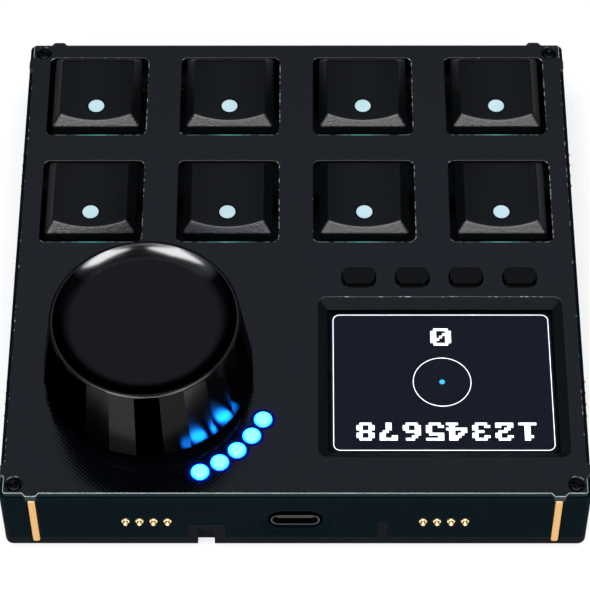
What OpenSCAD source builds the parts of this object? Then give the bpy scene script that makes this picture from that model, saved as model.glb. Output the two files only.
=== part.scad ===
// Square desktop music controller: eight lit keys, one large jog knob, a small display,
// four menu buttons, and contact pins with magnet rods on all four sides for docking.
// The origin is at the bottom centre, on the surface that the rubber feet stand on.
// +X is to the right of the user, +Y is away from the user, +Z is up.

/* [Case] */
// Height of the case, without its feet, up to the top of the panel
case_h = 17.2; // [17:0.1:20]
// Wall of the case and of the base tray
wall = 2; // [1.8:0.1:2.2]
// Radius of the upright corners of the case
corner_r = 1.4; // [1.2:0.1:2]
// Height of the base tray up to its seam with the case
tray_h = 2.9; // [2.5:0.1:3.4]
// Floor of the base tray
floor_t = 1.5; // [1.2:0.1:1.7]
// Radius of the lower outer edge of the base tray
low_edge_r = 1.1; // [0.6:0.1:1.15]
// Radius on the rim of the case
rim_edge_r = 0.45; // [0.2:0.05:0.5]
// Height of the panel above the rim of the case
panel_proud = 0.9; // [0.5:0.1:1.2]

/* [Base tongues] */
// Distance of the wide tongue from the left contact block
tongue_side = 1.67; // [1.2:0.01:3]
// Width of the wide tongue
tongue_w = 6.7; // [5:0.1:8]
// Height of the wide tongue above the seam
tongue_h = 4.3; // [3:0.1:5]
// Depth of the wide tongue behind the front face
tongue_d = 3; // [2.9:0.1:3.2]
// Width of the pry notch in the wide tongue
notch_w = 3.1; // [2.5:0.1:4]
// Distance of the pry notch from the left edge of the wide tongue
notch_side = 1.6; // [0.6:0.1:1.8]
// Depth of the pry notch behind the front face
notch_d = 1.7; // [1:0.1:2]
// Height of the pry notch above the bottom of the tray
notch_h = 5.7; // [4:0.1:6]
// Distance of the narrow tongue from the right contact block
clip_side = 4.37; // [2:0.01:6]
// Width of the narrow tongue
clip_w = 1.8; // [1.2:0.1:3]
// Height of the narrow tongue above the seam
clip_h = 5.2; // [3:0.1:5.6]

/* [Feet] */
// Diameter of a rubber foot
foot_d = 8; // [6:0.1:10]
// Height of a foot below the base tray
foot_h = 1; // [0.8:0.1:2]
// Depth of the pocket that holds a foot
foot_pocket = 0.5; // [0.3:0.1:0.6]
// Distance of a foot's centre behind each face of the case
foot_in = 13.3; // [10:0.1:17]

/* [Layout of the panel] */
// Distance of the outer key openings from the side edges of the panel
key_side = 3.5; // [3.2:0.1:6]
// Distance of the back key openings from the back edge of the panel
key_back = 3.35; // [3.2:0.05:6]
// Least distance between two key openings in a row
key_bar_x = 6.6; // [6:0.1:8]
// Distance between the openings of the two key rows
key_bar_y = 6.5; // [6:0.1:8]
// Least distance between the front key openings and the menu buttons' openings
button_back = 6.6; // [4:0.1:9]
// Distance between the display's opening and the menu buttons' openings
button_front = 2.65; // [2:0.05:4]
// Distance of the display's opening from the front edge of the panel
screen_front = 7.8; // [7:0.1:10]
// Distance of the display's opening from the right edge of the panel
screen_side = 2.55; // [2.4:0.05:5]
// Distance of the jog knob from the left and front edges of the panel
knob_margin = 6.25; // [5:0.05:8]
// Least distance between the jog knob and the display's opening
knob_room = 11.8; // [10.5:0.1:13]

/* [Panel] */
// Distance of the panel's edge behind the face of the case
panel_inset = 0.7; // [0.6:0.1:0.9]
// Thickness of the top panel
panel_t = 1.6; // [1.4:0.1:1.8]
// Radius of the corners of the panel
panel_r = 0.5; // [0.3:0.1:1]
// Width of a panel tab at its outer end
tab_w = 1.9; // [1.6:0.1:2.1]
// Distance of a corner screw behind each face of the case
screw_in = 2.7; // [2.6:0.1:2.9]
// Diameter of the head of a corner screw
screw_head_d = 2.5; // [2.2:0.1:2.7]
// Height of the head of a corner screw
screw_head_h = 0.8; // [0.6:0.1:0.9]
// Diameter of the shank of a corner screw
screw_d = 1.4; // [1.2:0.1:1.5]
// Diameter of the sunk seat of a corner screw
screw_seat_d = 3; // [2.9:0.1:3.2]

/* [Keys] */
// Side of the square key opening
key_hole_w = 19.6; // [18.8:0.1:19.8]
// Corner radius of the key opening
key_hole_r = 1.3; // [0.8:0.1:2]
// Gap between a key cap and its opening
cap_gap = 1.2; // [1:0.1:1.5]
// How far each side of a cap leans in from its skirt to its top
cap_lean = 1.65; // [1.2:0.05:2]
// Corner radius of the cap skirt
cap_r = 1.2; // [0.8:0.1:1.5]
// Corner radius of the cap top
cap_top_r = 1.1; // [0.8:0.1:1.6]
// Height of the cap top above the panel
cap_top_h = 3.1; // [2.8:0.1:3.6]
// Height of the cap skirt's upper edge above the panel
cap_skirt_h = 1; // [0.6:0.1:1.4]
// Depth of the cap skirt's lower edge below the panel
cap_low = 1.5; // [1:0.1:1.6]
// Wall of a key cap
cap_wall = 1.2; // [1:0.1:1.3]
// Depth of the finger hollow in the cap top
cap_dish = 1.05; // [0.6:0.05:1.2]
// Diameter of the light window in a cap
lens_d = 3.3; // [2.6:0.1:3.4]
// Distance of the light window's centre from the front edge of the cap's top
lens_in = 2.75; // [2.5:0.05:2.9]
// Travel of a key
key_travel = 2.8; // [2:0.1:2.9]

/* [Key switches] */
// Side of the square switch housing
switch_w = 15; // [14:0.1:15.2]
// Floor of the switch housing
switch_floor = 0.8; // [0.6:0.1:1]
// Width of the sliding stem
stem_w = 8; // [7:0.1:9]
// Back to front size of the sliding stem
stem_d = 4.4; // [4.3:0.1:4.6]
// Thickness of the plate on top of the stem
stem_plate = 0.7; // [0.5:0.1:0.8]
// Guided depth of the stem in its housing at rest
stem_grip = 1.5; // [1.2:0.1:1.6]
// Room left under the stem when the key is fully pressed
stem_rest = 0.2; // [0.1:0.05:0.3]
// Outer diameter of the key spring
spring_d = 3.4; // [3:0.1:3.5]
// Wire diameter of the key spring
spring_wire = 0.35; // [0.2:0.05:0.5]
// Height of a light chip on the board
chip_h = 0.6; // [0.4:0.1:0.7]
// Side of a light chip on the board
chip_w = 2; // [1.6:0.1:2.6]

/* [Jog knob] */
// Diameter of the knob at its foot
knob_low_d = 38.7; // [36:0.1:40]
// How far the knob's side leans in from its foot to its shoulder
knob_lean = 2.1; // [1.5:0.1:3]
// Height of the knob's rim above the panel
knob_h = 18.4; // [17:0.1:20]
// Gap between the knob and the panel
knob_gap = 2.1; // [1:0.1:2.5]
// Wall of the knob
knob_wall = 2.2; // [1.8:0.1:2.6]
// Thickness of the knob's crown under the hollow
knob_crown = 2.4; // [2:0.1:2.8]
// Radius of the knob's shoulder
knob_edge_r = 0.6; // [0.3:0.1:0.8]
// Flat width of the rim on top of the knob
knob_rim_w = 0.3; // [0.1:0.1:0.5]
// Width of the curved edge of the knob's hollow
dish_run = 3.05; // [2:0.05:5]
// Depth of the hollow in the knob's top
knob_dish = 0.9; // [0.5:0.1:1.2]
// Wall of the knob's hub around the shaft
hub_wall = 1.95; // [1.5:0.05:2.9]
// Diameter of the encoder shaft
shaft_d = 6; // [5.6:0.1:6.1]
// Depth of the flat on the encoder shaft
shaft_flat = 1.5; // [1:0.1:1.8]
// Wall of the threaded bushing of the encoder
bushing_wall = 0.45; // [0.35:0.05:0.6]
// Height of the bushing above the panel
bushing_h = 2.8; // [2.6:0.1:3]
// Side of the square encoder body
encoder_w = 12.5; // [11:0.1:13.5]
// Height of the encoder body
encoder_h = 6; // [5:0.1:7]
// Least wall of the bushing nut
nut_wall = 1.5; // [1:0.1:2]
// Thickness of the bushing nut
nut_t = 2; // [1.5:0.1:2.2]

/* [Ring of lights] */
// Distance of the lights' centres from the side of the knob
light_out = 3.95; // [3:0.05:4.3]
// Angle between two lights as seen from the knob's axis
light_step = 10; // [9.5:0.1:11]
// Diameter of a light pipe
light_d = 3.5; // [3:0.1:3.6]
// Height of the dome above the panel
light_dome = 0.7; // [0.5:0.1:1]
// Width of the strip that joins the light pipes
light_web_w = 2.4; // [1.6:0.1:3]
// Thickness of the strip that joins the light pipes
light_web_t = 0.8; // [0.5:0.1:1.2]

/* [Display] */
// Width of the panel opening over the display
screen_hole_w = 45.9; // [44:0.1:46]
// Depth of the panel opening over the display, back to front
screen_hole_d = 35.4; // [34:0.1:36]
// Corner radius of the panel opening over the display
screen_hole_r = 1.8; // [1:0.1:2.5]
// Slope of the opening's walls, measured along the panel
screen_slope = 1.8; // [1:0.1:2]
// Thickness of the cover glass
glass_t = 0.7; // [0.5:0.1:1]
// Margin of the cover glass around the opening
glass_margin = 0.5; // [0.3:0.1:0.6]
// Thickness of the display module
module_t = 2.3; // [1.8:0.1:2.6]
// Width of the ribbon cable
ribbon_w = 12; // [8:0.5:16]
// Thickness of the ribbon cable
ribbon_t = 0.3; // [0.2:0.05:0.4]

/* [Menu buttons] */
// Distance between menu button centres
button_pitch = 10.13; // [9:0.01:10.5]
// Width of a menu button
button_w = 6; // [5:0.1:6.4]
// Back to front size of a menu button
button_d = 3.4; // [3:0.1:3.6]
// Corner radius of a menu button
button_r = 1.2; // [0.8:0.1:1.4]
// Height of a menu button above the panel
button_h = 1; // [0.6:0.1:1.4]
// Travel of a menu button
button_travel = 0.25; // [0.2:0.01:0.3]
// Side of the square switch under a menu button
tact_w = 6; // [5:0.1:6.2]
// Height of the switch under a menu button
tact_h = 3.5; // [3:0.1:4]

/* [Circuit board] */
// Depth of the board's top face below the top of the panel
board_drop = 10.35; // [10.3:0.05:10.5]
// Thickness of the board
board_t = 1.6; // [1.4:0.1:1.7]
// Gap between the board's edge and the case wall
board_gap = 2; // [1.9:0.1:2.1]
// Corner radius of the board
board_r = 2.5; // [2:0.1:3]
// Diameter of a stud that carries the board
stud_d = 5; // [4.4:0.1:6]
// Shank diameter of a board screw
board_screw_d = 2; // [1.6:0.1:2.4]

/* [USB socket] */
// Width of the socket's metal shell
usb_w = 8.94; // [8.8:0.02:9.1]
// Height of the socket's metal shell
usb_h = 3.26; // [3.1:0.02:3.4]
// Length of the socket's metal shell
usb_len = 7.35; // [6.5:0.05:8]
// Sheet thickness of the socket's metal shell
usb_sheet = 0.3; // [0.2:0.05:0.4]
// Depth of the socket's mouth behind the front face
usb_inset = 0.4; // [0.2:0.1:0.8]
// Room left and right of the socket in the case opening
usb_side = 0.63; // [0.5:0.01:0.9]
// Room above and below the socket in the case opening
usb_rise = 1.52; // [1:0.01:1.6]
// Width of the shallow hollow left and right of the case opening
usb_dish_side = 1.85; // [1:0.05:2.2]
// Height of the shallow hollow above and below the case opening
usb_dish_rise = 1.15; // [0.8:0.05:1.2]
// Depth of the shallow hollow around the case opening
usb_dish_d = 0.35; // [0.2:0.05:0.6]

/* [Docking contacts] */
// Distance between two contact pins
pin_pitch = 2.54; // [2.4:0.01:2.7]
// Distance of a group of four pins from the middle of its side
pin_group_at = 27; // [25:0.1:27.5]
// Depth of the pins below the top of the panel
pin_drop = 8.2; // [8:0.1:8.3]
// Diameter of a pin barrel
barrel_d = 1.5; // [1.3:0.1:1.6]
// Height of a barrel outside the case
barrel_proud = 0.35; // [0.2:0.05:0.5]
// Length of a barrel
barrel_len = 5.2; // [4.9:0.1:5.6]
// Diameter of a spring pin
pin_d = 0.9; // [0.7:0.05:1]
// Height of a spring pin above its barrel
pin_proud = 0.75; // [0.5:0.05:1]
// Length of a spring pin
pin_len = 3.2; // [2.6:0.1:3.4]
// Travel of a spring pin
pin_travel = 0.6; // [0.3:0.05:0.7]
// Cover of the contact block above its barrels
block_cover = 0.5; // [0.3:0.1:0.9]
// Back to front size of the contact block
block_d = 3.6; // [3.2:0.1:3.8]

/* [Magnet rods] */
// Distance of a magnet rod from the corner of its side
rod_in = 5.75; // [5.5:0.05:6.2]
// Diameter of a magnet rod
rod_d = 2.6; // [2.3:0.1:2.7]
// Height of a magnet rod's lower end above the bottom of the tray
rod_floor = 1.3; // [1.2:0.1:2.5]
// Wall around a magnet rod inside the case
rod_wall = 0.8; // [0.6:0.1:0.9]

/* [Hidden] */
$fn = 64;

// Overrun of every cut past the face that it leaves
over = 0.5;
// Gap between seated pieces, per side
seat = 0.1;
// Gap between a sliding piece and its guide, per side
slide = 0.15;
// Running fit of a round moving piece, per side
run = 0.05;

// The panel is square, and as wide as the longest of three chains needs:
// four keys across, knob beside display, or display, buttons and keys front to back
keys_across = 4 * key_hole_w + 3 * key_bar_x + 2 * key_side;
knob_and_screen = knob_margin + knob_low_d + knob_room + screen_hole_w + screen_side;
button_hole_d = button_d + 2 * slide;
keys_deep = 2 * key_hole_w + key_bar_y + key_back;
front_to_back = screen_front + screen_hole_d + button_front + button_hole_d + button_back + keys_deep;
panel_w = max(keys_across, knob_and_screen, front_to_back);
case_w = panel_w + 2 * panel_inset;

// Levels above the surface that the feet stand on
base_z = foot_h;
deck_z = base_z + case_h;
rim_z = deck_z - panel_proud;
seam_z = base_z + tray_h;
floor_z = base_z + floor_t;
ledge_z = deck_z - panel_t;
board_z = deck_z - board_drop;
board_low = board_z - board_t;
half = case_w / 2;
inner = half - wall;

// Places on the panel, from its middle
key_pitch_x = (panel_w - 2 * key_side - key_hole_w) / 3;
key_pitch_y = key_hole_w + key_bar_y;
key_row_y = panel_w / 2 - key_back - key_hole_w / 2;
knob_x = -panel_w / 2 + knob_margin + knob_low_d / 2;
knob_y = knob_x;
screen_x = panel_w / 2 - screen_side - screen_hole_w / 2;
screen_y = -panel_w / 2 + screen_front + screen_hole_d / 2;
button_y = screen_y + screen_hole_d / 2 + button_front + button_hole_d / 2;

// Angles of the four sides: front, right, back and left
side_turns = [0, 90, 180, 270];

// Magnet rods: each lies just inside its face and shows through a slot of the tab's width
rod_at = half - rod_in;
rod_hole_r = rod_d / 2 + seat;
rod_depth = rod_d / 2 + seat / 2;
rod_top = ledge_z - seat;
rod_low = base_z + rod_floor;

// Feet
foot_at = half - foot_in;

// Corner screws reach from the panel into the base tray
screw_at = half - screw_in;
screw_seat_z = deck_z - screw_head_h - seat;
screw_tip_z = floor_z + seat;
post_d = screw_d + 2 * rod_wall + seat;

// Keys
cap_w = key_hole_w - 2 * cap_gap;
cap_top_w = cap_w - 2 * cap_lean;
lens_at = cap_top_w / 2 - lens_in;
key_top_z = deck_z + cap_top_h;
key_dish_r = (pow(cap_top_w / 2, 2) + pow(cap_dish, 2)) / (2 * cap_dish);
key_dish_z = key_top_z - cap_dish;
cap_ceiling = key_dish_z - cap_wall;
switch_h = switch_floor + stem_rest + key_travel + stem_grip;
switch_top = board_z + switch_h;
stem_low = switch_top - stem_grip;
stem_back = lens_at - lens_d / 2 - slide;

// Key spring: its axis behind the key's centre, and the bore that it stands in
spring_y = stem_d / 2 - stem_back;
spring_room_r = spring_d / 2 + seat;
spring_top = cap_ceiling - stem_plate - seat;

// Board studs: two between the key rows and two near the front corners
stud_shares = [[-0.53, 0.536], [0.53, 0.536], [-0.81, -0.85], [0.81, -0.85]];
board_w = 2 * (inner - board_gap);

// Knob and encoder
knob_top_d = knob_low_d - 2 * knob_lean;
knob_flat_d = knob_top_d - 2 * (knob_edge_r + knob_rim_w + dish_run);
knob_top = deck_z + knob_h;
knob_foot = deck_z + knob_gap;
hub_d = shaft_d + seat + 2 * hub_wall;
bushing_d = shaft_d + 2 * run + 2 * bushing_wall;
nut_w = bushing_d + 2 * nut_wall;
light_r = knob_low_d / 2 + light_out;
dish_r = (pow(dish_run, 2) + pow(knob_dish, 2)) / (2 * knob_dish);
knob_ceiling = knob_top - knob_dish - knob_crown;
bushing_top = deck_z + bushing_h;
encoder_top = board_z + encoder_h;
shaft_top = knob_ceiling - seat;
hub_low = bushing_top + knob_gap;

// Display
glass_top = ledge_z - seat;
glass_low = glass_top - glass_t;
module_top = glass_low - seat;
module_low = module_top - module_t;

// Ribbon cable: its socket on the board, its flat ends and its bend behind the display
connector_h = 1.3;
ribbon_run = 3;
chip_room = 2.3;
ribbon_y = screen_y + screen_hole_d / 2 - 2 * ribbon_run;
ribbon_low = board_z + connector_h / 2;
ribbon_bend = (module_low - ribbon_low) / 2;

// Menu buttons
flange_margin = 0.6;
flange_t = 0.8;
plunger_d = 3.2;
tact_top = board_z + tact_h;
socket_depth = 2 * button_travel + 2 * seat;

// USB socket
usb_z = board_z + usb_h / 2;
usb_hole_w = usb_w + 2 * usb_side;
usb_hole_h = usb_h + 2 * usb_rise;
usb_dish_w = usb_hole_w + 2 * usb_dish_side;
usb_dish_h = usb_hole_h + 2 * usb_dish_rise;

// Contact pins, and the tongues of the tray between their blocks
pin_z = deck_z - pin_drop;
block_w = 4 * pin_pitch + barrel_d;
block_h = pin_z - board_z + barrel_d / 2 + block_cover;
tongue_x = -pin_group_at + block_w / 2 + tongue_side;
clip_x = pin_group_at - block_w / 2 - clip_side - clip_w;

// Corner signs, used wherever something stands in all four corners
corners = [[-1, -1], [1, -1], [1, 1], [-1, 1]];

// Place of key number i, counted from the back left, four to a row
function key_place(i) = [((i - 1) % 4 - 1.5) * key_pitch_x,
                         key_row_y - floor((i - 1) / 4) * key_pitch_y];

// Place of menu button number i, counted from the left
function button_place(i) = [screen_x + (i - 2.5) * button_pitch, button_y];

// Side and end of magnet rod number i, two to a side
function rod_turn(i) = side_turns[floor((i - 1) / 2)];
function rod_sign(i) = (i % 2 == 1) ? -1 : 1;

// Points of an arc in a profile, from angle a to angle b
function arc(x, y, r, a, b, n) = [for (k = [0:n]) let (t = a + (b - a) * k / n)
                                  [x + r * cos(t), y + r * sin(t)]];

// Flat outline with round corners
module outline(w, d, r) {
    square([w - 2 * r, d], center = true);
    square([w, d - 2 * r], center = true);
    for (c = corners)
        translate([c[0] * (w / 2 - r), c[1] * (d / 2 - r)]) circle(r);
}

// Upright block with round corners, from level low to level high
module block(w, d, r, low, high) {
    translate([0, 0, low]) linear_extrude(high - low) outline(w, d, r);
}

// Section of a wall edge: reach wide and h high, rounded on its outer side
module edge_section(reach, h, low_r, top_r) {
    translate([0, low_r]) square([reach, h - low_r - top_r]);
    square([reach - low_r, h]);
    translate([0, low_r]) square([reach - top_r, h - low_r]);
    translate([reach - low_r, low_r]) circle(low_r);
    translate([reach - top_r, h - top_r]) circle(top_r);
}

// Square block with round corners and round lower and upper outer edges
module soft_block(w, r, low, high, low_r, top_r) {
    h = high - low;
    translate([0, 0, low]) {
        for (c = corners)
            translate([c[0] * (w / 2 - r), c[1] * (w / 2 - r), 0])
                rotate_extrude() intersection() {
                    edge_section(r, h, low_r, top_r);
                    square([r, h]);
                }
        for (turn = side_turns)
            rotate([0, 0, turn]) translate([-(w / 2 - r), -(w / 2 - r), 0])
                rotate([90, 0, 90]) linear_extrude(w - 2 * r)
                    mirror([1, 0]) intersection() {
                        edge_section(r, h, low_r, top_r);
                        square([r, h]);
                    }
        translate([-(w / 2 - r), -(w / 2 - r), 0]) cube([w - 2 * r, w - 2 * r, h]);
    }
}

// Repeats its children on all four sides
module each_side() {
    for (turn = side_turns)
        rotate([0, 0, turn]) children();
}

// Repeats its children at both rods of the front side
module rod_places() {
    for (s = [-1, 1])
        translate([s * rod_at, -half + rod_depth, 0]) children();
}

// Repeats its children at the eight pins of the front side
module pin_places() {
    for (s = [-1, 1])
        for (k = [-1.5, -0.5, 0.5, 1.5])
            translate([s * pin_group_at + k * pin_pitch, -half, pin_z])
                rotate([90, 0, 0]) children();
}

// Repeats its children at the five lights of the ring
module light_places() {
    for (k = [-2:2])
        translate([knob_x, knob_y, 0]) rotate([0, 0, -45 + k * light_step])
            translate([light_r, 0, 0]) children();
}

// Repeats its children at the studs that carry the board
module stud_places() {
    for (s = stud_shares)
        translate([s[0] * board_w / 2, s[1] * board_w / 2, 0]) children();
}

// Tapered tab of the panel at a magnet rod, grown by extra on each side
module tab_outline(extra) {
    tip = tab_w / 2 + extra;
    for (turn = side_turns)
        rotate(turn)
            for (s = [-1, 1])
                translate([s * rod_at, -panel_w / 2])
                    polygon([[-tip - panel_inset, seat], [-tip, -panel_inset], [-tip, -panel_inset - extra],
                             [tip, -panel_inset - extra], [tip, -panel_inset], [tip + panel_inset, seat]]);
}

// Bore of each magnet rod with the slot that shows it, from level low to level high
module rod_bores(low, high) {
    each_side() rod_places() {
        translate([0, 0, low]) cylinder(h = high - low, r = rod_hole_r);
        translate([-tab_w / 2, -rod_depth - over, low])
            cube([tab_w, rod_depth + over, high - low]);
    }
}

// Solid around each rod and each corner screw inside the wall
module corner_bosses(low, high) {
    h = high - low;
    each_side() rod_places()
        translate([0, 0, low]) intersection() {
            cylinder(h = h, r = rod_hole_r + rod_wall);
            translate([-half, -rod_depth + corner_r / 2, 0]) cube([case_w, half, h]);
        }
    for (c = corners)
        translate([c[0] * screw_at, c[1] * screw_at, low]) cylinder(h = h, d = post_d);
}

// Straight-sided slot with round ends in the front wall, from depth near to depth far
module front_slot(w, h, z, near, far) {
    translate([0, -half + far, z]) rotate([90, 0, 0])
        linear_extrude(far - near) outline(w, h, h / 2 - seat / 2);
}

// Shallow hollow around the USB opening: two cones joined by a wedge-sided bar
module usb_dish() {
    r_out = usb_dish_h / 2;
    r_in = usb_hole_h / 2 + seat;
    reach = (usb_dish_w - usb_dish_h) / 2;
    grow = (r_out - r_in) * over / usb_dish_d;
    for (s = [-1, 1])
        translate([s * reach, -half + usb_dish_d, usb_z]) rotate([90, 0, 0])
            cylinder(h = usb_dish_d + over, r1 = r_in, r2 = r_out + grow);
    translate([-reach, -half, usb_z]) rotate([90, 0, 90]) linear_extrude(2 * reach)
        polygon([[usb_dish_d, -r_in], [usb_dish_d, r_in],
                 [-over, r_out + grow], [-over, -r_out - grow]]);
}

// Place of the two tongues in the front wall, grown by extra
module tongues(extra) {
    translate([tongue_x - extra, -half - extra, seam_z])
        cube([tongue_w + 2 * extra, tongue_d + 2 * extra, tongue_h + extra]);
    translate([clip_x - extra, -half - extra, seam_z])
        cube([clip_w + 2 * extra, wall + 2 * extra, clip_h + extra]);
}

module case_shell() {
    color("#15181c") difference() {
        union() {
            difference() {
                soft_block(case_w, corner_r, seam_z, rim_z, 0, rim_edge_r);
                translate([-inner, -inner, seam_z - over])
                    cube([2 * inner, 2 * inner, rim_z - seam_z + 2 * over]);
            }
            intersection() {
                corner_bosses(seam_z, ledge_z);
                block(case_w - wall, case_w - wall, corner_r, seam_z, rim_z);
            }
        }
        block(panel_w + 2 * seat, panel_w + 2 * seat, panel_r, ledge_z, rim_z + over);
        translate([0, 0, ledge_z]) linear_extrude(rim_z - ledge_z + over) tab_outline(seat);
        rod_bores(seam_z - over, rim_z + over);
        for (c = corners)
            translate([c[0] * screw_at, c[1] * screw_at, seam_z - over])
                cylinder(h = case_h, d = screw_d + 2 * seat);
        each_side() pin_places()
            translate([0, 0, -wall - over]) cylinder(h = wall + 2 * over, d = barrel_d + 2 * seat);
        front_slot(usb_hole_w, usb_hole_h, usb_z, -over, wall + over);
        usb_dish();
        translate([0, 0, -over]) tongues(seat);
        tongues(seat);
    }
}

module base_tray() {
    color("#1a1c20") difference() {
        union() {
            difference() {
                soft_block(case_w, corner_r, base_z, seam_z - seat / 2, low_edge_r, 0);
                translate([-inner, -inner, floor_z]) cube([2 * inner, 2 * inner, tray_h]);
            }
            intersection() {
                corner_bosses(floor_z - over, seam_z - seat / 2);
                block(case_w - wall, case_w - wall, corner_r, base_z, seam_z);
            }
            stud_places() translate([0, 0, floor_z - over])
                cylinder(h = board_low - floor_z + over, d = stud_d);
            translate([0, 0, -seat / 2]) tongues(0);
        }
        rod_bores(rod_low - seat, seam_z);
        for (c = corners)
            translate([c[0] * screw_at, c[1] * screw_at, screw_tip_z - seat])
                cylinder(h = case_h, d = screw_d + seat / 2);
        stud_places() translate([0, 0, floor_z])
            cylinder(h = case_h, d = board_screw_d + seat / 2);
        for (c = corners)
            translate([c[0] * foot_at, c[1] * foot_at, base_z - over])
                cylinder(h = foot_pocket + over, d = foot_d + 2 * seat);
        translate([tongue_x + notch_side, -half - over, base_z - over])
            cube([notch_w, notch_d + over, notch_h + over]);
    }
}

module rubber_feet() {
    color("#101010")
        for (c = corners)
            translate([c[0] * foot_at, c[1] * foot_at, 0]) rotate_extrude() {
                square([foot_d / 2 - foot_h / 4, foot_h + foot_pocket]);
                translate([0, foot_h / 4]) square([foot_d / 2, foot_h + foot_pocket - foot_h / 4]);
                intersection() {
                    translate([foot_d / 2 - foot_h / 4, foot_h / 4]) circle(foot_h / 4);
                    square([foot_d / 2, foot_h]);
                }
            }
}

// Opening over the display: sloping on all four sides, with round corners
module screen_opening() {
    w = screen_hole_w / 2;
    d = screen_hole_d / 2;
    slant = screen_slope * over / panel_t;
    translate([screen_x, screen_y, 0]) intersection() {
        translate([0, d + over, ledge_z]) rotate([90, 0, 0]) linear_extrude(2 * d + 2 * over)
            polygon([[-w + screen_slope + slant, -over], [w - screen_slope - slant, -over],
                     [w + slant, panel_t + over], [-w - slant, panel_t + over]]);
        translate([-w - over, 0, ledge_z]) rotate([90, 0, 90]) linear_extrude(2 * w + 2 * over)
            polygon([[-d + screen_slope + slant, -over], [d - screen_slope - slant, -over],
                     [d + slant, panel_t + over], [-d - slant, panel_t + over]]);
        block(screen_hole_w, screen_hole_d, screen_hole_r, ledge_z - over, deck_z + over);
    }
}

module top_panel() {
    color("#202226") difference() {
        union() {
            block(panel_w, panel_w, panel_r, ledge_z, deck_z);
            translate([0, 0, ledge_z]) linear_extrude(panel_t) tab_outline(0);
        }
        for (i = [1:8])
            translate(key_place(i))
                block(key_hole_w, key_hole_w, key_hole_r, ledge_z - over, deck_z + over);
        for (i = [1:4])
            translate(button_place(i))
                block(button_w + 2 * slide, button_hole_d, button_r, ledge_z - over, deck_z + over);
        screen_opening();
        translate([knob_x, knob_y, ledge_z - over])
            cylinder(h = panel_t + 2 * over, d = bushing_d + 2 * seat);
        light_places() translate([0, 0, ledge_z - over])
            cylinder(h = panel_t + 2 * over, d = light_d + seat);
        for (c = corners)
            translate([c[0] * screw_at, c[1] * screw_at, 0]) {
                translate([0, 0, ledge_z - over])
                    cylinder(h = panel_t + 2 * over, d = screw_d + 2 * seat);
                translate([0, 0, screw_seat_z])
                    cylinder(h = screw_head_h + over, d = screw_seat_d);
            }
    }
}

module corner_screws() {
    color("#1b1b1d")
        for (c = corners)
            translate([c[0] * screw_at, c[1] * screw_at, 0]) {
                translate([0, 0, screw_tip_z])
                    cylinder(h = screw_seat_z - screw_tip_z + seat, d = screw_d);
                difference() {
                    translate([0, 0, screw_seat_z]) cylinder(h = screw_head_h, d = screw_head_d);
                    for (turn = [0, 90])
                        translate([0, 0, screw_seat_z + screw_head_h]) rotate([0, 0, turn])
                            cube([screw_head_d * 0.62, screw_head_d * 0.17, screw_head_h], center = true);
                }
            }
}

module main_board() {
    color("#1e4a2e") difference() {
        block(board_w, board_w, board_r, board_low, board_z);
        stud_places() translate([0, 0, board_low - over])
            cylinder(h = board_t + 2 * over, d = board_screw_d + 2 * seat);
    }
}

module board_screws() {
    color("#8d9094")
        stud_places() {
            translate([0, 0, floor_z + seat])
                cylinder(h = board_z - floor_z, d = board_screw_d);
            difference() {
                translate([0, 0, board_z]) cylinder(h = board_screw_d * 0.7, d = board_screw_d * 1.9);
                translate([0, 0, board_z + board_screw_d * 0.35])
                    cylinder(h = board_screw_d, d = board_screw_d, $fn = 6);
            }
        }
}

// Chip with its back right corner at x and y
module chip(x, y, size) {
    translate([x - size[0], y - size[1], board_z]) cube(size);
}

// Processor under the display, memory beside the menu switches, power and signal chips,
// and the ribbon's socket
module board_chips() {
    unit = board_w / 2;
    // Across and along as shares of the display's opening, height as a share of the socket's
    processor_shares = [0.54, 0.5, 2.4];
    // The rest across and along as shares of the board's half width
    memory_shares = [0.14, 0.2, 0.8];
    // Back right corner and size of the small chips
    small_shares = [[0.2, -0.43, 0.14, 0.14, 0.7], [-0.11, -0.25, 0.1, 0.1, 0.7],
                    [-0.76, -0.06, 0.12, 0.12, 0.9]];
    processor = [processor_shares[0] * screen_hole_w, processor_shares[1] * screen_hole_d,
                 processor_shares[2] * connector_h];
    color("#3a3d42") {
        chip(screen_x + processor[0] / 2, ribbon_y - ribbon_run - chip_room, processor);
        chip(button_place(1)[0] - tact_w / 2 - over, button_y + tact_w / 3,
             [memory_shares[0] * unit, memory_shares[1] * unit, memory_shares[2] * connector_h]);
        for (c = small_shares)
            chip(c[0] * unit, c[1] * unit, [c[2] * unit, c[3] * unit, c[4] * connector_h]);
        difference() {
            translate([screen_x - ribbon_w / 2 - connector_h, ribbon_y - ribbon_run, board_z])
                cube([ribbon_w + 2 * connector_h, ribbon_run, connector_h + ribbon_t]);
            translate([screen_x - ribbon_w / 2 - seat, ribbon_y - ribbon_run / 2 - seat, ribbon_low - seat])
                cube([ribbon_w + 2 * seat, ribbon_run, ribbon_t + 2 * seat]);
        }
    }
}

// Light chips on the board: one under each key window and one under each light pipe
module light_chips() {
    color("#e9e7dc") {
        for (i = [1:8])
            translate(concat(key_place(i) - [chip_w / 2, lens_at + chip_w / 2], board_z))
                cube([chip_w, chip_w, chip_h]);
        light_places() translate([-chip_w / 2, -chip_w / 2, board_z])
            cube([chip_w, chip_w, chip_h]);
    }
}

module switch_housings() {
    lens_room = lens_d / 2 + slide;
    color("#2a2b30")
        for (i = [1:8])
            translate(concat(key_place(i), board_z)) difference() {
                translate([-switch_w / 2, -switch_w / 2, 0]) cube([switch_w, switch_w, switch_h]);
                translate([-stem_w / 2 - slide, -stem_back - slide, switch_floor])
                    cube([stem_w + 2 * slide, stem_d + 2 * slide, switch_h]);
                translate([0, -lens_at, -over]) cylinder(h = switch_h + 2 * over, r = lens_room);
                translate([-lens_room, -lens_at, -over])
                    cube([2 * lens_room, lens_at - stem_back, switch_h + 2 * over]);
            }
}

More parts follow.
